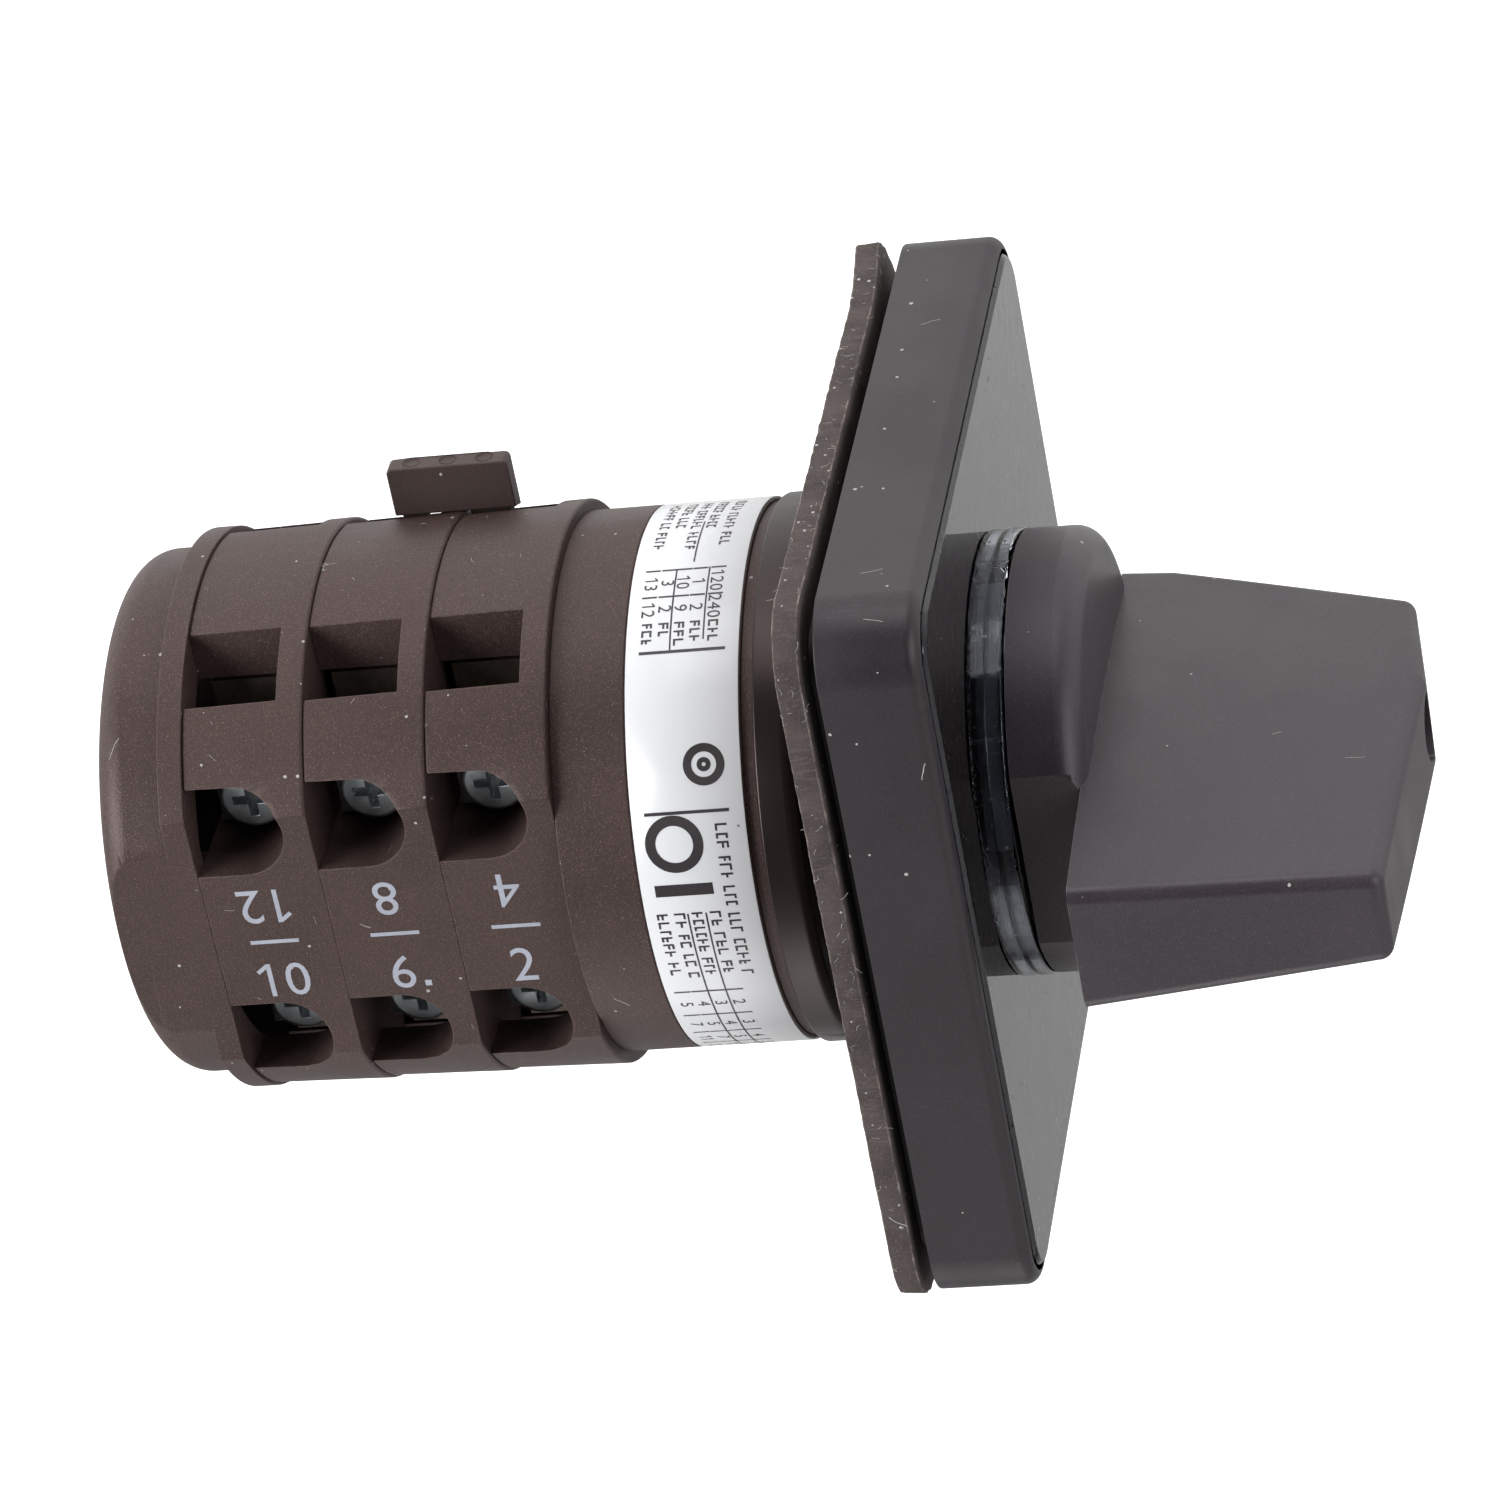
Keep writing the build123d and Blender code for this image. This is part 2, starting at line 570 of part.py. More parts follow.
# ---------------------------------------------------------------- rear end, shaft and jumper
def make_rear_cover():
    """The closed rear cover with the shaft's bearing and the two tie screw seats."""
    inside = COVER_BACK - COVER_WALL
    with BuildPart() as cover:
        flange = DECK_RADIUS + 0.1
        with BuildSketch(Plane.XY):
            with BuildLine():
                Line((0, COVER_FLANGE), (flange, COVER_FLANGE))
                Line((flange, COVER_FLANGE), (flange, COVER_SHOULDER))
                Line((flange, COVER_SHOULDER), (REAR_RADIUS, COVER_SHOULDER))
                Line((REAR_RADIUS, COVER_SHOULDER), (REAR_RADIUS, COVER_BACK - REAR_ROUND))
                RadiusArc(
                    (REAR_RADIUS, COVER_BACK - REAR_ROUND), (REAR_RADIUS - REAR_ROUND, COVER_BACK), -REAR_ROUND
                )
                Line((REAR_RADIUS - REAR_ROUND, COVER_BACK), (0, COVER_BACK))
                Line((0, COVER_BACK), (0, COVER_FLANGE))
            make_face()
        revolve(axis=Axis.Y)
        split(bisect_by=Plane.XY.offset(FLAT), keep=Keep.BOTTOM)
        split(bisect_by=Plane.XY.offset(-FLAT), keep=Keep.TOP)
        with BuildSketch(station(inside)):
            Circle(REAR_RADIUS - COVER_WALL)
            Rectangle(40, 2 * (FLAT - COVER_WALL), mode=Mode.INTERSECT)
            with GridLocations(0, 2 * TIE_HEIGHT, 1, 2):
                Circle(3.6, mode=Mode.SUBTRACT)
        extrude(amount=inside - COVER_FLANGE, mode=Mode.SUBTRACT)
        ring(0, 4.6, COVER_FLANGE + 1.6, inside + 0.1)
        ring(0, TAIL_RADIUS + FIT, COVER_FLANGE, inside - 0.2, Mode.SUBTRACT)
        with BuildSketch(station(COVER_BACK + 1)):
            with GridLocations(0, 2 * TIE_HEIGHT, 1, 2):
                Circle(TIE_HOLE)
        extrude(amount=COVER_BACK - COVER_FLANGE + 2, mode=Mode.SUBTRACT)
        with BuildSketch(station(COVER_BACK + 1)):
            with GridLocations(0, 2 * TIE_HEIGHT, 1, 2):
                Circle(2.85)
        extrude(amount=COVER_BACK + 1 - HEAD_SEAT, mode=Mode.SUBTRACT)
    save(cover, "rear_cover")


def make_tie_hardware():
    """The two long screws that hold the stack together, and their nuts."""
    nut_front = 9.6
    with BuildPart() as screws:
        with BuildSketch(station(HEAD_SEAT)):
            with GridLocations(0, 2 * TIE_HEIGHT, 1, 2):
                Circle(TIE_RADIUS)
        extrude(amount=HEAD_SEAT - 8.6)
        with BuildSketch(station(HEAD_SEAT + 1.9)):
            with GridLocations(0, 2 * TIE_HEIGHT, 1, 2):
                Circle(2.6)
        extrude(amount=1.9)
        fillet(screws.edges().filter_by(GeomType.CIRCLE).group_by(Axis.Y)[-1], 0.4)
        with BuildSketch(station(HEAD_SEAT + 3)):
            with GridLocations(0, 2 * TIE_HEIGHT, 1, 2):
                Rectangle(3.2, 0.7)
                Rectangle(0.7, 3.2)
        extrude(amount=2.1, mode=Mode.SUBTRACT)
    save(screws, "tie_screws")
    with BuildPart() as nuts:
        with BuildSketch(station(nut_front + 2.4)):
            with GridLocations(0, 2 * TIE_HEIGHT, 1, 2):
                RegularPolygon(2.75, 6, major_radius=False)
                Circle(TIE_RADIUS + 0.03, mode=Mode.SUBTRACT)
        extrude(amount=2.4)
    save(nuts, "tie_nuts")


def make_shaft():
    """The square steel shaft, its round tail, and the circlip that holds the cams on it."""
    square_end = COVER_FLANGE + 0.2
    clip = square_end + 0.3
    with BuildPart() as shaft:
        with BuildSketch(station(square_end)) as section:
            Rectangle(SHAFT, SHAFT)
            chamfer(section.vertices(), 0.35)
        extrude(amount=square_end + 16.6)
        ring(0, TAIL_RADIUS, square_end, COVER_BACK - COVER_WALL - 0.4)
        ring(TAIL_RADIUS - 0.4, TAIL_RADIUS + 1, clip, clip + 0.7, Mode.SUBTRACT)
        ring(0, 1.5, -17, -7.6, Mode.SUBTRACT)
    save(shaft, "shaft")
    with BuildPart() as circlip:
        with BuildSketch(station(clip + 0.65)):
            Circle(4.0)
            Circle(TAIL_RADIUS - 0.38, mode=Mode.SUBTRACT)
            with Locations((3, 0)):
                Rectangle(6, 2.2, mode=Mode.SUBTRACT)
        extrude(amount=0.6)
    save(circlip, "circlip")


def make_jumper():
    """The insulated link between a terminal of deck 1 and the one behind it in deck 2."""
    low, high = JUMPER_SPAN
    top, bottom = JUMPER_TOP - 0.3, JUMPER_BOTTOM + 0.3
    with BuildPart() as strap:
        block((STRAP_START, low + 0.4, bottom), (JUMPER_END - 0.7, high - 0.4, top))
        seam = deck_front(1)
        for start, end in ((low + 0.4, seam - 0.3), (seam + WEB + 0.8, high - 0.4)):
            block((TERMINAL + 1.8, start, bottom), (STRAP_START + 0.4, end, top))
    save(strap, "jumper_strap")
    with BuildPart() as cover:
        block((JUMPER_START, low, JUMPER_BOTTOM), (JUMPER_END, high, JUMPER_TOP))
        fillet(cover.edges().filter_by(Axis.Z), 0.35)
        block((JUMPER_START - 1, low + 0.35, bottom - 0.05), (JUMPER_END - 0.65, high - 0.35, top + 0.05),
              Mode.SUBTRACT)
        ring(0, DECK_RADIUS + DECK_DRAFT + 0.03, low - 1, high + 1, Mode.SUBTRACT)
        with BuildSketch(Plane.YZ.offset(JUMPER_END - 0.1)):
            for step in (0.2, 0.5, 0.8):
                with Locations((low + step * (high - low), JUMPER_BOTTOM + 0.6)):
                    Circle(0.5)
        extrude(amount=1, mode=Mode.SUBTRACT)
    save(cover, "jumper_cover")


def main():
    """Make every piece and write it."""
    os.makedirs("parts", exist_ok=True)
    make_knob()
    make_knob_screw()
    make_front_plate()
    make_neck_nut()
    make_lock_ring()
    make_front_housing()
    make_rating_label()
    make_detent_cover()
    make_detent_star()
    make_plungers()
    for index in range(DECKS):
        make_deck(index)
        make_cam(index)
        make_contacts(index)
        make_terminals(index)
    make_rear_cover()
    make_tie_hardware()
    make_shaft()
    make_jumper()


main()
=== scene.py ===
"""Looks of a panel-mounted rotary isolator switch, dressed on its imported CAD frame.

The switch axis is Y, with the knob towards -Y and the rear cover towards +Y. Z is up and X is to
the right. The classes hold their sizes in millimetres, and `mm` turns them into metres.
"""

import json
import logging
import math
import random
from dataclasses import dataclass, field
from enum import Enum
from functools import cache

import bmesh
import bpy
from mathutils import Matrix, Vector, noise
from mathutils.bvhtree import BVHTree


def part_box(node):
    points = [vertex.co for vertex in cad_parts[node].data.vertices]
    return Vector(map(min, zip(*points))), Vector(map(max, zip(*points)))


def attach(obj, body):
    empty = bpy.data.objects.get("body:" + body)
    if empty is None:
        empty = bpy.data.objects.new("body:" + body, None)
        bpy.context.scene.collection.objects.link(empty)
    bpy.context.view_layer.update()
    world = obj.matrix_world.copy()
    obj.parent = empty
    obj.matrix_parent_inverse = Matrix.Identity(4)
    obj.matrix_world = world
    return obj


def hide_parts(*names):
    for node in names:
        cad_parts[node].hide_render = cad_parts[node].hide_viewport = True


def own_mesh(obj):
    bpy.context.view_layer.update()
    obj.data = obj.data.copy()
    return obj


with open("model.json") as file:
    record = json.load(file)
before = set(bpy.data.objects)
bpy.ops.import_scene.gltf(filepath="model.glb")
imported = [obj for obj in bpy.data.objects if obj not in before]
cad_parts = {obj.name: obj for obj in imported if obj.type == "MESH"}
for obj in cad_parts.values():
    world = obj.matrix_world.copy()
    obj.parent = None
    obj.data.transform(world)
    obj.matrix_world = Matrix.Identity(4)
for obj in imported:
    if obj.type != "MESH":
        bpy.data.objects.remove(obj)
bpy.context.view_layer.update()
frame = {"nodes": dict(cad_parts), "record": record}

LOG = logging.getLogger("isolator")
Colour = tuple[float, float, float]
Point = tuple[float, float, float]
SCRATCH_STRETCH: Point = (5200.0, 700.0, 2600.0)  # scratches run along Y


def mm(size: float) -> float:
    """Millimetres as metres."""
    return size / 1000


def span_mm(node: str, axis: int) -> tuple[float, float]:
    """The lowest and highest place of a CAD node along one axis, in millimetres."""
    low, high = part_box(node)
    return low[axis] * 1000, high[axis] * 1000


class Body(Enum):
    """The CAD bodies that new pieces ride on."""

    HOUSING = "housing"
    HANDLE = "handle"


# ---------------------------------------------------------------- shader building
class Tree:
    """A shader node tree that is being filled in."""

    def __init__(self, tree: bpy.types.NodeTree) -> None:
        """Start from a node tree."""
        self.tree = tree

    def add(self, kind: str, **settings: object) -> bpy.types.Node:
        """Add one node.

        Args:
            kind: the node's Blender type name.
            settings: the node's own properties.

        Returns:
            The new node.
        """
        node = self.tree.nodes.new(kind)
        for name, value in settings.items():
            setattr(node, name, value)
        return node

    def feed(self, target: bpy.types.NodeSocket, source: object) -> None:
        """Link a socket into an input, or set the input to a plain value."""
        if isinstance(source, bpy.types.NodeSocket):
            self.tree.links.new(source, target)
        else:
            target.default_value = source

    def math(self, operation: str, first: object, second: object = 0.0) -> bpy.types.NodeSocket:
        """Add one Math node.

        Args:
            operation: what it does.
            first: its first value or socket.
            second: its second value or socket.

        Returns:
            The socket of its result.
        """
        node = self.add("ShaderNodeMath", operation=operation)
        self.feed(node.inputs[0], first)
        self.feed(node.inputs[1], second)
        return node.outputs[0]

    def vector(self, operation: str, first: object, second: object = (0, 0, 0)) -> bpy.types.Node:
        """Add one Vector Math node.

        Args:
            operation: what it does.
            first: its first vector or socket.
            second: its second vector or socket.

        Returns:
            The new node.
        """
        node = self.add("ShaderNodeVectorMath", operation=operation)
        self.feed(node.inputs[0], first)
        self.feed(node.inputs[1], second)
        return node

    def ramp(self, value: object, low: float, high: float, start: object = 0.0,
             end: object = 1.0) -> bpy.types.NodeSocket:
        """Map a value smoothly from low..high to start..end.

        Args:
            value: the socket to map.
            low: the value that gives start.
            high: the value that gives end.
            start: the result at low.
            end: the result at high.

        Returns:
            The mapped value's socket.
        """
        node = self.add("ShaderNodeMapRange", interpolation_type="SMOOTHSTEP", clamp=True)
        for name, given in (("Value", value), ("From Min", low), ("From Max", high),
                            ("To Min", start), ("To Max", end)):
            self.feed(node.inputs[name], given)
        return node.outputs["Result"]

    def mix(self, factor: object, first: object, second: object) -> bpy.types.NodeSocket:
        """Blend two colours.

        Args:
            factor: the share of the second colour, or its socket.
            first: the colour at 0, or its socket.
            second: the colour at 1, or its socket.

        Returns:
            The socket of the blend.
        """
        node = self.add("ShaderNodeMix", data_type="RGBA")
        self.feed(node.inputs["Factor"], factor)
        for name, given in (("A", first), ("B", second)):
            socket = next(s for s in node.inputs if s.name == name and s.type == "RGBA")
            self.feed(socket, (*given, 1.0) if isinstance(given, tuple) else given)
        return next(s for s in node.outputs if s.type == "RGBA")

    def noise(self, place: object, scale: object, detail: float = 2.0) -> bpy.types.Node:
        """Add one Noise Texture.

        Args:
            place: the socket of the coordinates.
            scale: its scale, or the socket of it.
            detail: how many finer layers it has.

        Returns:
            The new node.
        """
        node = self.add("ShaderNodeTexNoise")
        self.feed(node.inputs["Vector"], place)
        self.feed(node.inputs["Scale"], scale)
        node.inputs["Detail"].default_value = detail
        return node

    def wobbled(self, place: object, scale: float, reach: float) -> bpy.types.NodeSocket:
        """Shift coordinates about, so that what is drawn on them looks irregular.

        Args:
            place: the socket of the coordinates.
            scale: how quickly the shift changes.
            reach: how far it goes, in millimetres.

        Returns:
            The socket of the shifted coordinates.
        """
        cloud = self.noise(place, scale)
        shift = self.vector("SCALE", self.centred(cloud.outputs["Color"]))
        shift.inputs["Scale"].default_value = mm(reach)
        return self.vector("ADD", place, shift.outputs[0]).outputs[0]

    def centred(self, colour: object) -> bpy.types.NodeSocket:
        """Turn a random colour into a vector that points any way."""
        return self.vector("SUBTRACT", colour, (0.5, 0.5, 0.5)).outputs[0]

    def cells(self, place: object, spacing: object) -> tuple[bpy.types.Node, bpy.types.Node]:
        """Divide space into irregular cells, with three random numbers for each.

        Args:
            place: the socket of the coordinates.
            spacing: the socket of the cells' width in metres.

        Returns:
            The Voronoi Texture, and the node whose Red, Green and Blue are the numbers.
        """
        node = self.add("ShaderNodeTexVoronoi")
        self.feed(node.inputs["Vector"], place)
        self.feed(node.inputs["Scale"], self.math("DIVIDE", 1.0, spacing))
        draw = self.add("ShaderNodeSeparateColor")
        self.feed(draw.inputs["Color"], node.outputs["Color"])
        return node, draw

    def group(self, tree: bpy.types.NodeTree, **values: object) -> bpy.types.Node:
        """Place a shared effect in this tree.

        Args:
            tree: the effect's node group.
            values: its inputs by name, in small letters.

        Returns:
            The group's node.
        """
        node = self.add("ShaderNodeGroup", node_tree=tree)
        for name, value in values.items():
            self.feed(node.inputs[name.title()], value)
        return node


def new_group(name: str, inputs: dict[str, float | None],
              outputs: list[str]) -> tuple[Tree, bpy.types.Node, bpy.types.Node]:
    """Start a shader node group with named sockets.

    Args:
        name: the group's name.
        inputs: each input's name and value, where None is a vector.
        outputs: the names of the values that it puts out.

    Returns:
        The tree to fill in, its input node and its output node.
    """
    tree = bpy.data.node_groups.new(name, "ShaderNodeTree")
    for label, value in inputs.items():
        kind = "NodeSocketVector" if value is None else "NodeSocketFloat"
        socket = tree.interface.new_socket(name=label, in_out="INPUT", socket_type=kind)
        if value is not None:
            socket.default_value = value
    for label in outputs:
        tree.interface.new_socket(name=label, in_out="OUTPUT", socket_type="NodeSocketFloat")
    made = Tree(tree)
    return made, made.add("NodeGroupInput"), made.add("NodeGroupOutput")


@cache
def spark_grain() -> bpy.types.NodeTree:
    """Build the fine pitted texture of a spark-eroded mould, with its lighter grains.

    Returns:
        The node group. Size is the width of one grain in metres.
    """
    tree, given, made = new_group("spark_grain", {"Vector": None, "Size": 0.0002}, ["Height", "Sparkle"])
    scale = tree.math("DIVIDE", 1.0, given.outputs["Size"])
    pits = tree.noise(given.outputs["Vector"], scale, 3.0)
    pits.inputs["Roughness"].default_value = 0.65
    grains = tree.noise(given.outputs["Vector"], tree.math("MULTIPLY", scale, 1.7), 1.0)
    tree.feed(made.inputs["Height"], pits.outputs["Fac"])
    tree.feed(made.inputs["Sparkle"], tree.ramp(grains.outputs["Fac"], 0.56, 0.74))
    return tree.tree


@cache
def mottle() -> bpy.types.NodeTree:
    """Build the broad soft patches of a moulding that has been handled.

    Returns:
        The node group. Size is the width of a patch in metres.
    """
    tree, given, made = new_group("mottle", {"Vector": None, "Size": 0.01}, ["Value"])
    cloud = tree.noise(given.outputs["Vector"], tree.math("DIVIDE", 1.0, given.outputs["Size"]), 4.0)
    tree.feed(made.inputs["Value"], tree.ramp(cloud.outputs["Fac"], 0.3, 0.7))
    return tree.tree


@cache
def dust() -> bpy.types.NodeTree:
    """Build scattered specks of dust.

    Returns:
        The node group. Amount is the share of cells, Spacing wide, that hold a speck.
    """
    inputs = {"Vector": None, "Spacing": 0.001, "Amount": 0.1, "Speck": 0.12}
    tree, given, made = new_group("dust", inputs, ["Mask"])
    place = tree.wobbled(given.outputs["Vector"], 9000.0, 0.09)
    cells, draw = tree.cells(place, given.outputs["Spacing"])
    chosen = tree.math("LESS_THAN", draw.outputs["Red"], given.outputs["Amount"])
    reach = tree.math("MULTIPLY", given.outputs["Speck"], tree.math("ADD", 0.4, draw.outputs["Green"]))
    near = tree.math("LESS_THAN", cells.outputs["Distance"], reach)
    tree.feed(made.inputs["Mask"], tree.math("MULTIPLY", chosen, near))
    return tree.tree


@cache
def hairlines() -> bpy.types.NodeTree:
    """Build short thin curved lines: fibres lying on the surface, or fine scratches.

    Returns:
        The node group. Amount is the share of cells, Spacing wide, that hold a line.
    """
    inputs = {"Vector": None, "Spacing": 0.004, "Amount": 0.2, "Width": 0.00003}
    tree, given, made = new_group("hairlines", inputs, ["Mask"])
    place = tree.wobbled(given.outputs["Vector"], 420.0, 0.7)
    cells, draw = tree.cells(place, given.outputs["Spacing"])
    offset = tree.vector("SUBTRACT", place, cells.outputs["Position"]).outputs[0]
    lean = tree.vector("NORMALIZE", tree.centred(cells.outputs["Color"])).outputs[0]
    away = tree.math("ABSOLUTE", tree.vector("DOT_PRODUCT", offset, lean).outputs["Value"])
    thin = tree.math("LESS_THAN", away, given.outputs["Width"])
    length = tree.vector("LENGTH", offset).outputs["Value"]
    short = tree.math("LESS_THAN", length, tree.math("MULTIPLY", given.outputs["Spacing"], 0.3))
    chosen = tree.math("LESS_THAN", draw.outputs["Blue"], given.outputs["Amount"])
    tree.feed(made.inputs["Mask"], tree.math("MULTIPLY", chosen, tree.math("MULTIPLY", thin, short)))
    return tree.tree


@cache
def scuffs() -> bpy.types.NodeTree:
    """Build patches of fine scratches that all run much the same way.

    Returns:
        The node group. Size is a patch's width in metres, and Amount how much they cover.
    """
    tree, given, made = new_group("scuffs", {"Vector": None, "Size": 0.006, "Amount": 0.3}, ["Mask"])
    cloud = tree.noise(given.outputs["Vector"], tree.math("DIVIDE", 1.0, given.outputs["Size"]), 3.0)
    edge = tree.math("SUBTRACT", 0.95, tree.math("MULTIPLY", given.outputs["Amount"], 0.6))
    patch = tree.ramp(cloud.outputs["Fac"], tree.math("SUBTRACT", edge, 0.14), edge)
    stretched = tree.vector("MULTIPLY", given.outputs["Vector"], SCRATCH_STRETCH)
    streaks = tree.noise(stretched.outputs[0], 1.0)
    lines = tree.ramp(streaks.outputs["Fac"], 0.5, 0.7)
    tree.feed(made.inputs["Mask"], tree.math("MULTIPLY", patch, lines))
    return tree.tree


@cache
def worn_edges() -> bpy.types.NodeTree:
    """Build the light line along sharp edges, broken here and there. It is partly edge wear and partly a
    painted highlight on the edges.

    Returns:
        The node group. Width is how far the line reaches, in metres.
    """
    tree, given, made = new_group("worn_edges", {"Vector": None, "Width": 0.0001}, ["Mask"])
    rounded = tree.add("ShaderNodeBevel", samples=4)
    tree.feed(rounded.inputs["Radius"], given.outputs["Width"])
    flat = tree.add("ShaderNodeNewGeometry").outputs["Normal"]
    alike = tree.vector("DOT_PRODUCT", rounded.outputs["Normal"], flat).outputs["Value"]
    line = tree.ramp(alike, 0.90, 0.995, 1.0, 0.0)
    breaks = tree.noise(given.outputs["Vector"], 1300.0, 3.0)
    kept = tree.ramp(breaks.outputs["Fac"], 0.38, 0.62, 0.15, 1.0)
    tree.feed(made.inputs["Mask"], tree.math("MULTIPLY", line, kept))
    return tree.tree


def new_material(name: str) -> tuple[bpy.types.Material, Tree, bpy.types.Node, bpy.types.NodeSocket]:
    """Start a material.

    Args:
        name: the material's name.

    Returns:
        The material, its tree, its Principled BSDF and the mapped Object coordinates.
    """
    material = bpy.data.materials.new(name)
    material.use_nodes = True
    tree = Tree(material.node_tree)
    shader = material.node_tree.nodes["Principled BSDF"]
    coordinates = tree.add("ShaderNodeTexCoord")
    mapping = tree.add("ShaderNodeMapping")
    tree.feed(mapping.inputs["Vector"], coordinates.outputs["Object"])
    return material, tree, shader, mapping.outputs["Vector"]


@dataclass(frozen=True)
class Moulding:
    """A moulded plastic or rubber: its colour, its grain, and the dust that lies on it."""

    name: str
    colour: Colour
    roughness: float
    grain: float = 0.16  # size of one grain
    depth: float = 0.012  # depth of the grain
    lift: float = 1.5  # how much lighter the light grains are
    patch: float = 9.0  # size of the broad patches
    patch_lift: float = 1.2
    specks: float = 0.04
    fibres: float = 0.05
    dust_colour: Colour = (0.42, 0.41, 0.40)
    scuffed: float = 0.25
    edge: float = 0.0  # reach of the light edge line, which is partly wear and partly a painted highlight
    edge_lift: float = 3.5
    specular: float = 0.5
    sheen_tint: Colour = (1.0, 0.94, 0.97)

    @cache
    def material(self) -> bpy.types.Material:
        """Build the material once.

        Returns:
            The material.
        """
        material, tree, shader, place = new_material(self.name)
        grain = tree.group(spark_grain(), vector=place, size=mm(self.grain))
        patches = tree.group(mottle(), vector=place, size=mm(self.patch))
        light = tuple(min(1.0, part * self.lift) for part in self.colour)
        broad = tuple(min(1.0, part * self.patch_lift) for part in self.colour)
        base = tree.mix(patches.outputs["Value"], self.colour, broad)
        worn = tree.group(scuffs(), vector=place, size=mm(6.0), amount=self.scuffed)
        marked = tree.math("MULTIPLY", worn.outputs["Mask"], 0.7)
        grained = tree.mix(tree.math("MAXIMUM", grain.outputs["Sparkle"], marked), base, light)
        # The light edge line is partly edge wear and partly a painted highlight along the edges.
        if self.edge > 0:
            wear_and_highlight_line = tree.group(worn_edges(), vector=place, width=mm(self.edge)).outputs["Mask"]
            pale = tuple(min(1.0, part * self.edge_lift) for part in self.colour)
            grained = tree.mix(wear_and_highlight_line, grained, pale)
        specks = tree.group(dust(), vector=place, spacing=mm(0.75), amount=self.specks, speck=0.12)
        fibres = tree.group(hairlines(), vector=place, spacing=mm(2.2), amount=self.fibres, width=mm(0.013))
        dirt = tree.math("MAXIMUM", specks.outputs["Mask"], fibres.outputs["Mask"])
        tree.feed(shader.inputs["Base Color"], tree.mix(dirt, grained, self.dust_colour))
        rough = tree.ramp(patches.outputs["Value"], 0.0, 1.0, self.roughness - 0.05, self.roughness + 0.06)
        tree.feed(shader.inputs["Roughness"], tree.math("MAXIMUM", rough, dirt))
        bump = tree.add("ShaderNodeBump")
        tree.feed(bump.inputs["Height"], grain.outputs["Height"])
        bump.inputs["Distance"].default_value = mm(self.depth)
        tree.feed(shader.inputs["Normal"], bump.outputs["Normal"])
        shader.inputs["Specular IOR Level"].default_value = self.specular
        shader.inputs["Specular Tint"].default_value = (*self.sheen_tint, 1.0)
        return material


@dataclass(frozen=True)
class Metal:
    """A plated or bare metal with fine handling marks."""

    name: str
    colour: Colour
    roughness: float
    tarnish: Colour

    @cache
    def material(self) -> bpy.types.Material:
        """Build the material once.

        Returns:
            The material.
        """
        material, tree, shader, place = new_material(self.name)
        patches = tree.group(mottle(), vector=place, size=mm(1.6))
        marks = tree.group(hairlines(), vector=place, spacing=mm(1.1), amount=0.7, width=mm(0.02))
        tree.feed(shader.inputs["Base Color"], tree.mix(patches.outputs["Value"], self.colour, self.tarnish))
        rough = tree.ramp(patches.outputs["Value"], 0.0, 1.0, self.roughness, self.roughness + 0.2)
        tree.feed(shader.inputs["Roughness"], rough)
        bump = tree.add("ShaderNodeBump")
        tree.feed(bump.inputs["Height"], marks.outputs["Mask"])
        bump.inputs["Distance"].default_value = mm(0.01)
        bump.inputs["Strength"].default_value = 0.5
        tree.feed(shader.inputs["Normal"], bump.outputs["Normal"])
        shader.inputs["Metallic"].default_value = 1.0
        return material


@dataclass(frozen=True)
class ClearPlastic:
    """The polished clear cover, very slightly scratched."""

    name: str = "clear_polycarbonate"
    tint: Colour = (0.86, 0.91, 0.985)
    roughness: float = 0.02
    specular: float = 0.30
    sheen_tint: Colour = (0.92, 0.93, 1.0)
    dust_colour: Colour = (0.62, 0.64, 0.67)

    @cache
    def material(self) -> bpy.types.Material:
        """Build the material once.

        Returns:
            The material.
        """
        material, tree, shader, place = new_material(self.name)
        marks = tree.group(hairlines(), vector=place, spacing=mm(2.4), amount=0.35, width=mm(0.02))
        wave = tree.group(mottle(), vector=place, size=mm(5.0))
        clouded = tuple(part * 0.97 for part in self.tint)
        clear = tree.mix(wave.outputs["Value"], self.tint, clouded)
        specks = tree.group(dust(), vector=place, spacing=mm(0.6), amount=0.16, speck=0.13).outputs["Mask"]
        tree.feed(shader.inputs["Base Color"], tree.mix(specks, clear, self.dust_colour))
        worn = tree.group(scuffs(), vector=place, size=mm(5.0), amount=0.35).outputs["Mask"]
        scratched = tree.math("MULTIPLY", tree.math("MAXIMUM", marks.outputs["Mask"], worn), 0.35)
        rough = tree.math("ADD", scratched, self.roughness)
        tree.feed(shader.inputs["Roughness"], tree.math("MAXIMUM", rough, specks))
        bump = tree.add("ShaderNodeBump")
        tree.feed(bump.inputs["Height"], wave.outputs["Value"])
        bump.inputs["Distance"].default_value = mm(0.01)
        bump.inputs["Strength"].default_value = 0.3
        tree.feed(shader.inputs["Normal"], bump.outputs["Normal"])
        self.let_light_through(tree, shader)
        shader.inputs["Transmission Weight"].default_value = 1.0
        shader.inputs["IOR"].default_value = 1.5
        shader.inputs["Specular IOR Level"].default_value = self.specular
        shader.inputs["Specular Tint"].default_value = (*self.sheen_tint, 1.0)
        return material


    def let_light_through(self, tree: Tree, shader: bpy.types.Node) -> None:
        """Let shadow and diffuse rays pass straight through, so that what lies under it is lit.

        Args:
            tree: the material's tree.
            shader: its Principled BSDF.
        """
        output = next(node for node in tree.tree.nodes if node.type == "OUTPUT_MATERIAL")
        rays = tree.add("ShaderNodeLightPath")
        passed = tree.math("MAXIMUM", rays.outputs["Is Shadow Ray"], rays.outputs["Is Diffuse Ray"])
        plain = tree.add("ShaderNodeBsdfTransparent")
        plain.inputs["Color"].default_value = (*self.tint, 1.0)
        blend = tree.add("ShaderNodeMixShader")
        tree.feed(blend.inputs[0], passed)
        tree.feed(blend.inputs[1], shader.outputs[0])
        tree.feed(blend.inputs[2], plain.outputs[0])
        tree.feed(output.inputs["Surface"], blend.outputs[0])


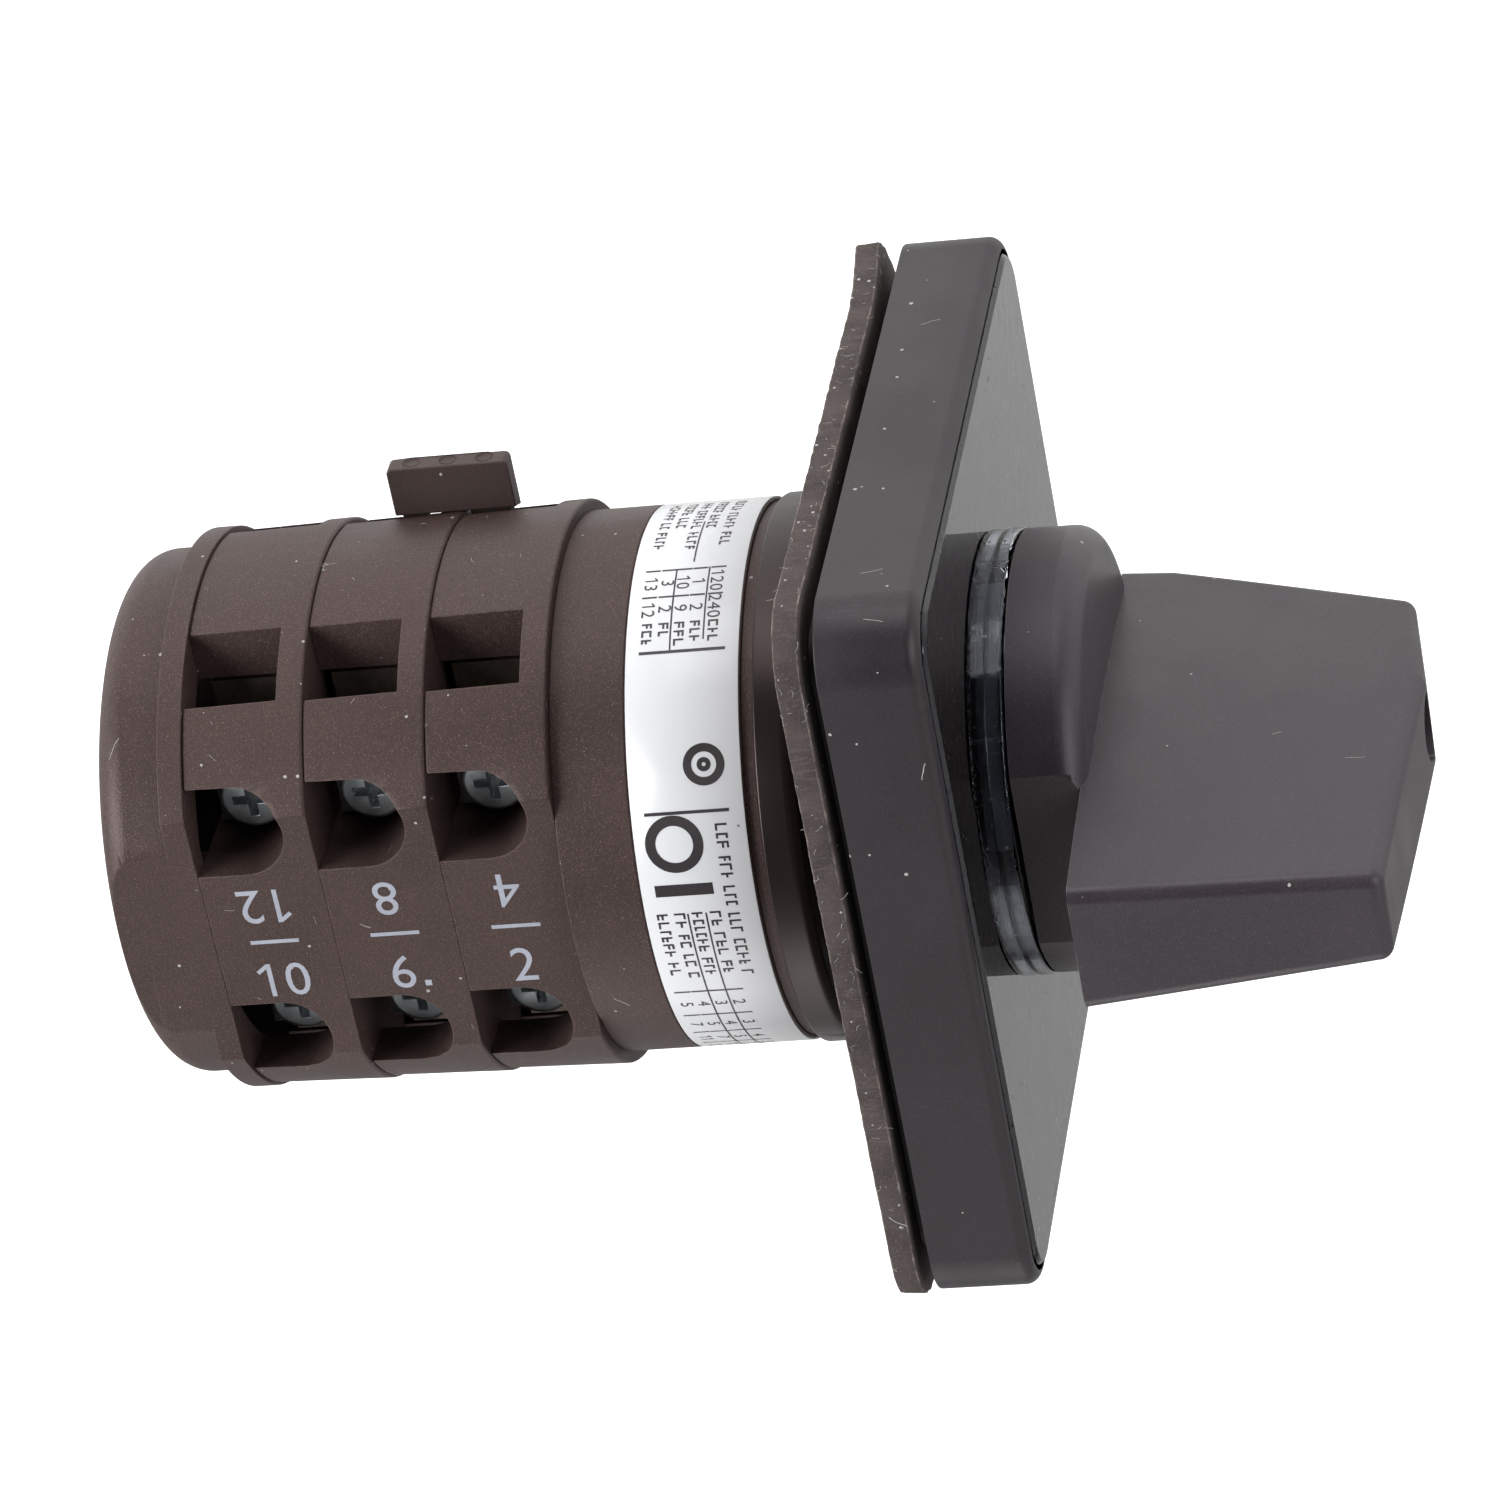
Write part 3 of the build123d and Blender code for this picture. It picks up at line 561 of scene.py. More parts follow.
WARM_SHEEN: Colour = (1.0, 0.82, 0.79)
WHITE_SHEEN: Colour = (1.0, 1.0, 1.0)
# The edge values paint a light line along edges, partly wear and partly a painted highlight.
BLACK = Moulding("black_satin", (0.031, 0.025, 0.030), 0.40, grain=0.13, depth=0.009, lift=2.4,
                 specks=0.03, fibres=0.02, edge=0.09, edge_lift=5.0)
BEZEL_BLACK = Moulding("bezel_satin", (0.0195, 0.0165, 0.0195), 0.44, grain=0.13, depth=0.008, lift=2.2,
                       specks=0.05, fibres=0.03, scuffed=0.35, edge=0.07, edge_lift=4.0, specular=0.40)
THERMOSET = Moulding("brown_black_thermoset", (0.035, 0.022, 0.020), 0.52, grain=0.14, depth=0.022,
                     lift=4.0, patch_lift=1.3, specks=0.10, fibres=0.03, edge=0.10, edge_lift=4.5,
                     sheen_tint=WARM_SHEEN)
COLLAR = Moulding("collar_satin", (0.008, 0.005, 0.005), 0.36, depth=0.005, specks=0.02, fibres=0.02,
                  sheen_tint=WARM_SHEEN)
RUBBER = Moulding("gasket_rubber", (0.048, 0.040, 0.038), 0.8, grain=0.22, depth=0.03, lift=2.4,
                  patch=2.4, patch_lift=1.7, specks=0.3, fibres=0.12, scuffed=0.6, edge=0.17,
                  edge_lift=9.0, specular=0.3, sheen_tint=WARM_SHEEN)
LEGEND = Moulding("legend_blue_grey", (0.125, 0.130, 0.150), 0.45, depth=0.004, lift=1.15,
                  specks=0.08, fibres=0.03, dust_colour=(0.65, 0.65, 0.65), scuffed=0.1)
JUMPER = Moulding("jumper_grey_black", (0.040, 0.028, 0.026), 0.5, depth=0.01, lift=2.0,
                  sheen_tint=WARM_SHEEN)
NYLON = Moulding("natural_nylon", (0.72, 0.70, 0.62), 0.45, depth=0.004, lift=1.05, specks=0.0,
                 fibres=0.0, scuffed=0.0, sheen_tint=WHITE_SHEEN)
NUT = Moulding("nut_nylon", (0.05, 0.05, 0.052), 0.4, depth=0.005, specks=0.01)
PAPER = Moulding("label_gloss_white", (0.74, 0.75, 0.77), 0.24, grain=0.5, depth=0.001, lift=1.01,
                 patch=14.0, patch_lift=1.04, specks=0.004, fibres=0.0, dust_colour=(0.25, 0.24, 0.23),
                 scuffed=0.0, sheen_tint=WHITE_SHEEN)
INK = Moulding("label_ink", (0.028, 0.024, 0.027), 0.4, depth=0.001, lift=1.6, specks=0.0, fibres=0.0,
               scuffed=0.0)
PALE_INK = Moulding("number_ink", (0.40, 0.42, 0.49), 0.5, grain=0.11, depth=0.01, lift=0.72,
                    patch=1.2, patch_lift=0.86, specks=0.0, fibres=0.0, scuffed=0.0,
                    sheen_tint=WHITE_SHEEN)
LINT = Moulding("lint", (0.55, 0.54, 0.52), 0.9, depth=0.004, lift=1.1, specks=0.0, fibres=0.0,
                scuffed=0.0)
STEEL = Metal("bright_steel", (0.60, 0.60, 0.60), 0.26, (0.45, 0.45, 0.46))
ZINC = Metal("zinc_plate", (0.62, 0.67, 0.69), 0.32, (0.44, 0.49, 0.52))
# Painted shade: the brass and its tarnish are coloured very dark to stand for the shade inside the deck
# windows.
BRASS = Metal("shade_darkened_brass", (0.15, 0.120, 0.098), 0.5, (0.08, 0.062, 0.052))
SILVER = Metal("silver_bridge", (0.80, 0.72, 0.62), 0.28, (0.62, 0.50, 0.40))
CLEAR = ClearPlastic()

SLOT_FINISH: dict[str, Moulding | Metal | ClearPlastic] = {
    "black_plastic": BLACK, "thermoset": THERMOSET, "collar_plastic": COLLAR,
    "gasket_rubber": RUBBER, "legend_grey": LEGEND, "clear_plastic": CLEAR, "white_label": PAPER,
    "steel": STEEL, "zinc": ZINC, "contact_brass": BRASS, "silver_bridge": SILVER,
    "cam_plastic": NYLON, "nut_plastic": NUT, "jumper_plastic": JUMPER,
}


# ---------------------------------------------------------------- making pieces
def place_piece(name: str, mesh: bpy.types.Mesh, finish: Moulding | Metal | ClearPlastic,
                slot: str, body: Body, *stands_for: str) -> bpy.types.Object:
    """Put a finished mesh in the scene as one piece of the switch.

    Args:
        name: the piece's name.
        mesh: its mesh, already in its place.
        finish: the finish that it wears.
        slot: the record's material slot; not used.
        body: the CAD body that it rides on.
        stands_for: the CAD nodes that it hides.

    Returns:
        The piece's object.
    """
    piece = bpy.data.objects.new(name, mesh)
    bpy.context.scene.collection.objects.link(piece)
    mesh.materials.clear()
    mesh.materials.append(finish.material())
    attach(piece, body.value)
    if stands_for:
        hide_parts(*stands_for)
    LOG.info("%s: %d faces on %s", name, len(mesh.polygons), body.value)
    return piece


def to_mesh(shape: bmesh.types.BMesh, name: str, crease: float = 40.0) -> bpy.types.Mesh:
    """Write a bmesh out as a smooth-shaded mesh.

    Args:
        shape: the shape, which is freed.
        name: the mesh's name.
        crease: the angle in degrees from which an edge stays sharp.

    Returns:
        The mesh.
    """
    for face in shape.faces:
        face.smooth = True
    mesh = bpy.data.meshes.new(name)
    shape.to_mesh(mesh)
    shape.free()
    mesh.set_sharp_from_angle(angle=math.radians(crease))
    return mesh


def weighted(piece: bpy.types.Object) -> bpy.types.Object:
    """Let a piece's large flat faces rule its shading, so that its small roundings look crisp.

    Args:
        piece: the piece's object.

    Returns:
        The same object.
    """
    finish = piece.modifiers.new("flat_faces", "WEIGHTED_NORMAL")
    finish.keep_sharp = True
    finish.weight = 60
    return piece


def copy_part(node: str, rounding: float, crease: float = 28.0) -> bmesh.types.BMesh:
    """Take a clean copy of a CAD node's surface and round its sharp edges.

    Args:
        node: the CAD node.
        rounding: the radius of the rounding in millimetres.
        crease: the angle in degrees from which an edge is rounded.

    Returns:
        The copy as a bmesh.
    """
    shape = bmesh.new()
    shape.from_mesh(frame["nodes"][node].data)
    bmesh.ops.remove_doubles(shape, verts=shape.verts, dist=mm(0.002))
    bmesh.ops.dissolve_limit(shape, angle_limit=math.radians(0.6), verts=shape.verts,
                             edges=shape.edges, delimit={"NORMAL"})
    sharp = [edge for edge in shape.edges
             if edge.is_manifold and edge.calc_face_angle(0.0) > math.radians(crease)]
    if rounding > 0:
        bmesh.ops.bevel(shape, geom=sharp, offset=mm(rounding), offset_type="OFFSET", segments=2,
                        profile=0.5, affect="EDGES", clamp_overlap=False, material=-1)
    return shape


def dress_copy(node: str, name: str, finish: Moulding | Metal | ClearPlastic, slot: str,
               body: Body, rounding: float, crease: float = 40.0) -> bpy.types.Object:
    """Replace a CAD node by its rounded and dressed copy.

    Args:
        node: the CAD node.
        name: the new piece's name.
        finish: the finish that it wears.
        slot: the record's material slot.
        body: the CAD body that it rides on.
        rounding: the radius of its roundings in millimetres.
        crease: the angle in degrees from which an edge stays sharp.

    Returns:
        The new piece.
    """
    mesh = to_mesh(copy_part(node, rounding), name, crease)
    return weighted(place_piece(name, mesh, finish, slot, body, node))


def glyph(letter: str, height: float) -> bmesh.types.BMesh:
    """Make one numeral, flat and centred on the origin.

    Args:
        letter: the numeral.
        height: its height in millimetres.

    Returns:
        The numeral as a bmesh, in metres.
    """
    if letter == "1":
        return numeral_one(height)
    curve = bpy.data.curves.new("lettering", "FONT")
    curve.body = letter
    curve.resolution_u = 4
    holder = bpy.data.objects.new("lettering", curve)
    flat = bpy.data.meshes.new_from_object(holder)
    shape = bmesh.new()
    shape.from_mesh(flat)
    bpy.data.objects.remove(holder)
    bpy.data.curves.remove(curve)
    bpy.data.meshes.remove(flat)
    low = Vector(min(v.co[i] for v in shape.verts) for i in range(3))
    high = Vector(max(v.co[i] for v in shape.verts) for i in range(3))
    size = mm(height) / (high.y - low.y)
    bmesh.ops.translate(shape, verts=shape.verts, vec=-(low + high) / 2)
    bmesh.ops.scale(shape, verts=shape.verts, vec=(size, size, size))
    return shape


def numeral_one(height: float) -> bmesh.types.BMesh:
    """Make the numeral 1 as a stem with a short flag.

    Args:
        height: its height in millimetres.

    Returns:
        The numeral as a bmesh, in metres.
    """
    shape = bmesh.new()
    stem, flag = 0.125 * height, 0.36 * height
    merge_into(shape, bar(stem, height), Matrix.Translation((mm(0.07 * height), 0, 0)))
    lean = Matrix.Rotation(math.radians(37), 4, "Z")
    place = Matrix.Translation((mm(-0.09 * height), mm(0.345 * height), mm(0.001)))
    merge_into(shape, bar(flag, stem * 0.9), place @ lean)
    return shape


def written(text: str, height: float) -> bmesh.types.BMesh:
    """Make a number from its numerals, centred on the origin, in the XY plane.

    Args:
        text: what it says.
        height: the height of a numeral in millimetres.

    Returns:
        The lettering as a bmesh, in metres.
    """
    shape = bmesh.new()
    pitch = 0.777 * height
    for index, letter in enumerate(text):
        shift = (index - (len(text) - 1) / 2) * pitch
        merge_into(shape, glyph(letter, height), Matrix.Translation((mm(shift), 0, 0)))
    return shape


def merge_into(target: bmesh.types.BMesh, part: bmesh.types.BMesh, place: Matrix) -> None:
    """Move a part into place and add it to a larger bmesh.

    Args:
        target: the larger bmesh.
        part: the part, which is freed.
        place: where it goes.
    """
    bmesh.ops.transform(part, matrix=place, verts=part.verts)
    carrier = bpy.data.meshes.new("carrier")
    part.to_mesh(carrier)
    part.free()
    target.from_mesh(carrier)
    bpy.data.meshes.remove(carrier)


def facing(origin: Point, reading: Vector, up: Vector) -> Matrix:
    """Find the matrix that lays flat lettering on a surface.

    Args:
        origin: the lettering's middle in millimetres.
        reading: the way that it reads.
        up: the way that its numerals stand.

    Returns:
        The matrix.
    """
    normal = reading.cross(up)
    turn = Matrix((reading, up, normal)).transposed().to_4x4()
    return Matrix.Translation(Vector(origin) / 1000) @ turn


def bar(width: float, height: float) -> bmesh.types.BMesh:
    """Make a flat printed bar, centred on the origin.

    Args:
        width: its width in millimetres.
        height: its height in millimetres.

    Returns:
        The bar as a bmesh, in metres.
    """
    shape = bmesh.new()
    bmesh.ops.create_grid(shape, x_segments=1, y_segments=1, size=0.5)
    bmesh.ops.scale(shape, verts=shape.verts, vec=(mm(width), mm(height), 1))
    return shape


# ---------------------------------------------------------------- sub-assemblies
@dataclass
class Knob:
    """The pointer knob and its screw."""

    rounding: float = 0.0
    crease: float = 22.0
    screw_rounding: float = 0.06

    def build(self) -> None:
        """Dress the knob and its screw."""
        dress_copy("knob", "knob_shell", BLACK, "black_plastic", Body.HANDLE, self.rounding, self.crease)
        dress_copy("knob_screw", "knob_screw_head", ZINC, "zinc", Body.HANDLE, self.screw_rounding)


@dataclass
class FrontPlate:
    """The bezel with its legend, its clear cover and its two generic position marks."""

    rounding: float = 0.10
    cover_rounding: float = 0.05
    stand_off: float = 0.012  # how far the print stands off the sheet
    mark_height: float = 3.0
    mark_distance: float = 19.3
    gap: float = 0.02  # between the cover and the sheet under it

    def build(self) -> None:
        """Dress the plate and print its marks."""
        dress_copy("bezel", "bezel_moulding", BEZEL_BLACK, "black_plastic", Body.HOUSING, self.rounding)
        sheet = copy_part("legend_plate", 0.0)
        bmesh.ops.translate(sheet, verts=sheet.verts, vec=(0, mm(self.gap), 0))
        mesh = to_mesh(sheet, "legend_sheet")
        place_piece("legend_sheet", mesh, LEGEND, "legend_grey", Body.HOUSING, "legend_plate")
        dress_copy("clear_cover", "cover_moulding", CLEAR, "clear_plastic", Body.HOUSING, self.cover_rounding)
        self.build_marks()

    def build_marks(self) -> None:
        """Print 0 and 1 on the legend, where the pointer stands in its two positions."""
        front = span_mm("legend_plate", 1)[0] - self.stand_off
        marks = bmesh.new()
        places = (("0", (0.0, front, self.mark_distance)), ("1", (self.mark_distance, front, 0.0)))
        for text, place in places:
            lie = facing(place, Vector((1, 0, 0)), Vector((0, 0, 1)))
            merge_into(marks, written(text, self.mark_height), lie)
        place_piece("legend_marks", to_mesh(marks, "legend_marks"), INK, "legend_grey", Body.HOUSING)


@dataclass
class Gasket:
    """The cut rubber gasket: ragged at its edges, lifted at one corner."""

    segments: int = 720
    rings: int = 5
    hole: float = 11.3
    corner: float = 4.3
    rounding: float = 0.06
    ragged: float = 0.16  # fine wear of the cut edge
    wander: float = 0.14  # slow wandering of the cut edge
    curl: float = 0.65
    curl_start: float = 25.0  # how far out the corner begins to lift
    curl_reach: float = 7.0

    def outline(self, angle: float, half: float, corner: float) -> float:
        """Find a rounded square's edge in one direction.

        Args:
            angle: the direction, in radians from +X towards +Z.
            half: half of the square's side.
            corner: the radius of its corners.

        Returns:
            The distance from the centre to the edge.
        """
        across, up = abs(math.cos(angle)), abs(math.sin(angle))
        reach = half / max(across, up)
        inner = half - corner
        if min(across, up) * reach <= inner:
            return reach
        along = inner * (across + up)
        return along + math.sqrt(max(0.0, along * along - 2 * inner * inner + corner * corner))

    def build(self) -> None:
        """Cut the gasket from a loop round its hole and wear its edges."""
        front, rear = span_mm("gasket", 1)
        half = span_mm("gasket", 0)[1]
        shape = bmesh.new()
        bmesh.ops.create_circle(shape, segments=self.segments, radius=mm(self.hole))
        bmesh.ops.rotate(shape, verts=shape.verts, matrix=Matrix.Rotation(math.pi / 2, 3, "X"))
        bmesh.ops.translate(shape, verts=shape.verts, vec=(0, mm(front), 0))
        loop = list(shape.edges)
        for step in range(1, self.rings + 1):
            grown = bmesh.ops.extrude_edge_only(shape, edges=loop)["geom"]
            loop = [item for item in grown if isinstance(item, bmesh.types.BMEdge)]
            share = step / self.rings
            for vert in (item for item in grown if isinstance(item, bmesh.types.BMVert)):
                angle = math.atan2(vert.co.z, vert.co.x)
                reach = self.hole + share * (self.outline(angle, half, self.corner) - self.hole)
                vert.co.x, vert.co.z = mm(reach) * math.cos(angle), mm(reach) * math.sin(angle)
        bmesh.ops.recalc_face_normals(shape, faces=shape.faces)
        sheet = list(shape.faces)
        walls = bmesh.ops.extrude_face_region(shape, geom=sheet)["geom"]
        moved = [item for item in walls if isinstance(item, bmesh.types.BMVert)]
        bmesh.ops.translate(shape, verts=moved, vec=(0, mm(rear - front), 0))
        bmesh.ops.recalc_face_normals(shape, faces=shape.faces)
        rim = [edge for edge in shape.edges if edge.calc_face_angle(0.0) > 1.0]
        bmesh.ops.bevel(shape, geom=rim, offset=mm(self.rounding), offset_type="OFFSET", segments=2,
                        profile=0.5, affect="EDGES", clamp_overlap=False, material=-1)
        for vert in shape.verts:
            self.wear(vert, half)
        mesh = to_mesh(shape, "gasket_cut", 50.0)
        place_piece("gasket_cut", mesh, RUBBER, "gasket_rubber", Body.HOUSING, "gasket")

    def wear(self, vert: bmesh.types.BMVert, half: float) -> None:
        """Roughen the outer edge and lift the corner where X is positive and Z is negative.

        Args:
            vert: the vertex to move.
            half: half of the gasket's side in millimetres.
        """
        reach = math.hypot(vert.co.x, vert.co.z)
        edge = self.outline(math.atan2(vert.co.z, vert.co.x), mm(half), mm(self.corner))
        if reach > edge - mm(0.5):
            fine = mm(self.ragged) * noise.noise(vert.co * 1400)
            slow = mm(self.wander) * noise.noise(vert.co * 200)
            shift = 1 + (fine + slow) / reach
            vert.co.x *= shift
            vert.co.z *= shift
        diagonal = (vert.co.x - vert.co.z) / math.sqrt(2) * 1000
        lift = max(0.0, (diagonal - self.curl_start) / self.curl_reach)
        vert.co.y += mm(self.curl) * lift * lift


@dataclass
class LockRing:
    """The smooth ring that is screwed up behind the panel."""

    rounding: float = 0.15

    def build(self) -> None:
        """Dress the ring."""
        dress_copy("lock_ring", "lock_ring_turned", COLLAR, "collar_plastic", Body.HOUSING, self.rounding)


@dataclass
class PrintedLabel:
    """The white label wrapped round the housing, with generic numbers, rules and symbols."""

    segments: int = 160
    ink: float = 0.012  # how far the print stands off the paper
    seed: int = 7
    rows: tuple[float, ...] = (7.0, 8.1, 9.2, 10.25, 11.3)  # of the second table
    table: tuple[tuple[float, str, str], ...] = (  # the first table: each row's place and its numbers
        (7.1, "120", "240"), (8.2, "1", "2"), (9.15, "10", "9"), (10.1, "3", "2"), (11.1, "13", "12"),
    )
    ratings: tuple[int, ...] = (2, 3, 4, 5, 7, 11)
    cell: float = 9.0  # degrees from one column of the second table to the next

    def __post_init__(self) -> None:
        """Read the label's place from the frame."""
        self.front, self.rear = span_mm("rating_label", 1)
        self.radius = span_mm("rating_label", 0)[1]
        self.print_mesh = bmesh.new()
        self.chance = random.Random(self.seed)

    def build(self) -> None:
        """Roll the paper and print it."""
        sheet = bmesh.new()
        bmesh.ops.create_circle(sheet, segments=self.segments, radius=mm(self.radius - 0.1))
        bmesh.ops.rotate(sheet, verts=sheet.verts, matrix=Matrix.Rotation(math.pi / 2, 3, "X"))
        bmesh.ops.translate(sheet, verts=sheet.verts, vec=(0, mm(self.front), 0))
        edge = 0.03
        width = self.rear - self.front
        profile = ((-0.02, 0.0), (0.0, edge), (0.0, width - 2 * edge), (-0.02, edge), (-0.1, 0.0))
        loop = list(sheet.edges)
        for sunk, step in profile:
            loop = self.step_loop(sheet, loop, self.radius + sunk, step)
        bmesh.ops.recalc_face_normals(sheet, faces=sheet.faces)
        mesh = to_mesh(sheet, "label_wrap")
        place_piece("label_wrap", mesh, PAPER, "white_label", Body.HOUSING, "rating_label")
        self.print_table()
        self.print_symbols()
        self.print_ratings()
        place_piece("label_print", to_mesh(self.print_mesh, "label_print"), INK, "white_label", Body.HOUSING)

    def step_loop(self, shape: bmesh.types.BMesh, loop: list[bmesh.types.BMEdge], radius: float,
                  step: float) -> list[bmesh.types.BMEdge]:
        """Extrude a loop of edges to another radius and a step further back.

        Args:
            shape: the shape that the loop belongs to.
            loop: the loop's edges.
            radius: the new loop's radius in millimetres.
            step: how much further back it lies, in millimetres.

        Returns:
            The new loop's edges.
        """
        grown = bmesh.ops.extrude_edge_only(shape, edges=loop)["geom"]
        verts = [item for item in grown if isinstance(item, bmesh.types.BMVert)]
        for vert in verts:
            angle = math.atan2(vert.co.z, vert.co.x)
            vert.co.x, vert.co.z = mm(radius) * math.cos(angle), mm(radius) * math.sin(angle)
            vert.co.y += mm(step)
        return [item for item in grown if isinstance(item, bmesh.types.BMEdge)]

    def press(self, part: bmesh.types.BMesh, degrees: float, station: float) -> None:
        """Print a flat part on the label.

        Args:
            part: the part, centred, reading along its own X.
            degrees: where its centre lies, from +X towards +Z.
            station: where its centre lies along the axis, in millimetres.
        """
        radius = mm(self.radius + self.ink)
        for vert in part.verts:
            angle = math.radians(degrees) + vert.co.x / radius
            along = mm(station) - vert.co.y
            vert.co = Vector((radius * math.cos(angle), along, radius * math.sin(angle)))
        merge_into(self.print_mesh, part, Matrix.Identity(4))

    def print_word(self, start: float, end: float, station: float, height: float = 0.62) -> None:
        """Print a row of short strokes that stands in for words.

        Args:
            start: the angle in degrees where it begins.
            end: the angle in degrees that it stops before.
            station: its place along the axis in millimetres.
            height: the height of a stroke in millimetres.
        """
        reach = mm(self.radius)
        place = start
        while place < end:
            letters = self.chance.randint(2, 6)
            for _ in range(letters):
                width = self.chance.uniform(0.28, 0.46)
                step = math.degrees(mm(width + 0.16) / reach)
                if place + step > end:
                    return
                self.press_glyph(place + step / 2, station, width, height)
                place += step
            place += math.degrees(mm(0.35) / reach)

    def press_glyph(self, degrees: float, station: float, width: float, height: float) -> None:
        """Print one small placeholder glyph: an upright stroke and one or two short arms.

        Args:
            degrees: the angle of its middle.
            station: its place along the axis in millimetres.
            width: its width in millimetres.
            height: its height in millimetres.
        """
        shape = bmesh.new()
        stroke = 0.13
        parts = [(stroke, height, -width / 2 + stroke / 2, 0.0)]
        for level in self.chance.sample((-0.5, 0.0, 0.5), self.chance.randint(1, 2)):
            parts.append((width, stroke, 0.0, level * (height - stroke)))
        for across, up, x, y in parts:
            merge_into(shape, bar(across, up), Matrix.Translation((mm(x), mm(y), 0)))
        self.press(shape, degrees, station)

    def print_rule(self, degrees: float, low: float, high: float, width: float = 0.13) -> None:
        """Print a rule across the label at one angle."""
        self.press(bar(width, high - low), degrees, (low + high) / 2)

    def print_line(self, start: float, end: float, station: float, width: float = 0.1) -> None:
        """Print a rule along the label, in short steps that follow the curve.

        Args:
            start: the angle in degrees where it begins.
            end: the angle in degrees where it ends.
            station: its place along the axis in millimetres.
            width: its width in millimetres.
        """
        steps = max(1, round((end - start) / 3))
        step = (end - start) / steps
        for index in range(steps):
            length = math.radians(step) * self.radius
            self.press(bar(length, width), start + (index + 0.5) * step, station)

    def print_table(self) -> None:
        """Print the first table: words, two columns of numbers and their rules."""
        self.print_rule(31.4, 6.3, 11.5, 0.2)
        for row, (station, first, second) in enumerate(self.table):
            self.press(written(first, 0.78), 14.0, station)
            self.press(written(second, 0.78), 21.0, station)
            self.print_word(24.2, 30.4, station)
            self.print_word(-22.0, -3.0 if row % 2 else 4.0, station)
            self.print_rule(10.2, station - 0.45, station + 0.45)
            self.print_rule(17.8, station - 0.45, station + 0.45)
        for start, end, station in ((10, 29, 7.65), (10, 31, 9.65), (-8, 8, 8.7)):
            self.print_line(start, end, station)

    def print_symbols(self) -> None:
        """Print the plain on and off symbols, a bar and a ring, and a small ring mark."""
        self.print_rule(65.1, 6.4, 11.5, 0.2)
        self.press(self.ring(1.75, 0.62), 71.6, 9.9)
        self.press(bar(0.75, 3.5), 81.5, 9.7)
        self.press(self.ring(1.25, 0.5), 55.6, 7.7)
        self.press(self.ring(0.42, 0.3), 55.6, 7.7)

    def ring(self, radius: float, width: float) -> bmesh.types.BMesh:
        """Make a flat printed ring.

        Args:
            radius: its outer radius in millimetres.
            width: the width of its line in millimetres.

        Returns:
            The ring as a bmesh, in metres.
        """
        shape = bmesh.new()
        bmesh.ops.create_circle(shape, segments=40, radius=mm(radius))
        grown = bmesh.ops.extrude_edge_only(shape, edges=list(shape.edges))["geom"]
        inner = [item for item in grown if isinstance(item, bmesh.types.BMVert)]
        share = (radius - width) / radius
        bmesh.ops.scale(shape, verts=inner, vec=(share, share, 1))
        return shape

    def print_ratings(self) -> None:
        """Print the second table, whose rows run on round the far side."""
        self.print_word(67.5, 104.5, self.rows[0], 0.72)
        for index, station in enumerate(self.rows[1:]):
            self.print_word(86.5, 104.5, station, 0.66)
            for column in range(len(self.ratings)):
                place = 113 + self.cell * column
                number = str(self.ratings[(index + column) % len(self.ratings)])
                self.press(written(number, 0.75), place, station)
                self.print_rule(place - self.cell / 2, station - 0.5, station + 0.5)
        for station in (self.rows[1] + 0.55, self.rows[2] + 0.55):
            self.print_line(87, 160, station)


@dataclass
class Stack:
    """The detent housing, the contact decks and the rear cover, with their numbers."""

    rounding: float = 0.07
    screw_rounding: float = 0.06
    clamp_rounding: float = 0.05
    numeral: float = 2.35
    near_place: float = -2.95  # of the number towards -X
    far_place: float = 2.35
    bar_place: float = -0.18
    bar_size: tuple[float, float] = (3.0, 0.26)
    dot: float = 0.4  # the square point that tells a 6 from a 9
    dot_place: tuple[float, float] = (-3.85, 1.35)
    skew: float = 0.05  # how far the print lies off the deck's middle
    decks: int = 3
    stand_off: float = 0.012
    numbers: bmesh.types.BMesh = field(default_factory=bmesh.new)

    def build(self) -> None:
        """Dress the mouldings and print the terminal numbers on both flats."""
        for node, name in (("front_housing", "housing_moulding"), ("rear_cover", "rear_cover_moulding")):
            dress_copy(node, name, THERMOSET, "thermoset", Body.HOUSING, self.rounding)
        for index in range(1, self.decks + 1):
            for node, name, finish, slot, rounding in (
                    ("deck", "deck_moulding", THERMOSET, "thermoset", self.rounding),
                    ("terminal_screws", "screw_heads", ZINC, "zinc", self.screw_rounding),
                    ("clamp_plates", "clamps", ZINC, "zinc", self.clamp_rounding)):
                dress_copy(f"{node}_{index}", f"{name}_{index}", finish, slot, Body.HOUSING, rounding)
            self.print_deck(index)
        mesh = to_mesh(self.numbers, "terminal_numbers")
        place_piece("terminal_numbers", mesh, PALE_INK, "white_label", Body.HOUSING)

    def print_deck(self, index: int) -> None:
        """Print one deck's numbers: even on the upper flat, odd on the lower one.

        Args:
            index: the deck's number, from the front.
        """
        front, rear = span_mm(f"deck_{index}", 1)
        low, high = span_mm(f"deck_{index}", 2)
        middle = (front + rear) / 2
        for side, level, odd in ((1, high + self.stand_off, 0), (-1, low - self.stand_off, 1)):
            up = Vector((1, 0, 0))
            reading = Vector((0, -side, 0))
            near, far = 4 * index - 2 - odd, 4 * index - odd
            shift = side * self.skew
            self.stamp(str(near), (self.near_place, middle + shift, level), reading, up)
            self.stamp(str(far), (self.far_place, middle + shift, level), -reading, -up)
            lie = facing((self.bar_place, middle, level), reading, up)
            merge_into(self.numbers, bar(*self.bar_size), lie)
            if near in (6, 9):
                across, along = self.dot_place
                lie = facing((across, middle - side * along, level), reading, up)
                merge_into(self.numbers, bar(self.dot, self.dot), lie)

    def stamp(self, text: str, place: Point, reading: Vector, up: Vector) -> None:
        """Print one number on a flat."""
        merge_into(self.numbers, written(text, self.numeral), facing(place, reading, up))


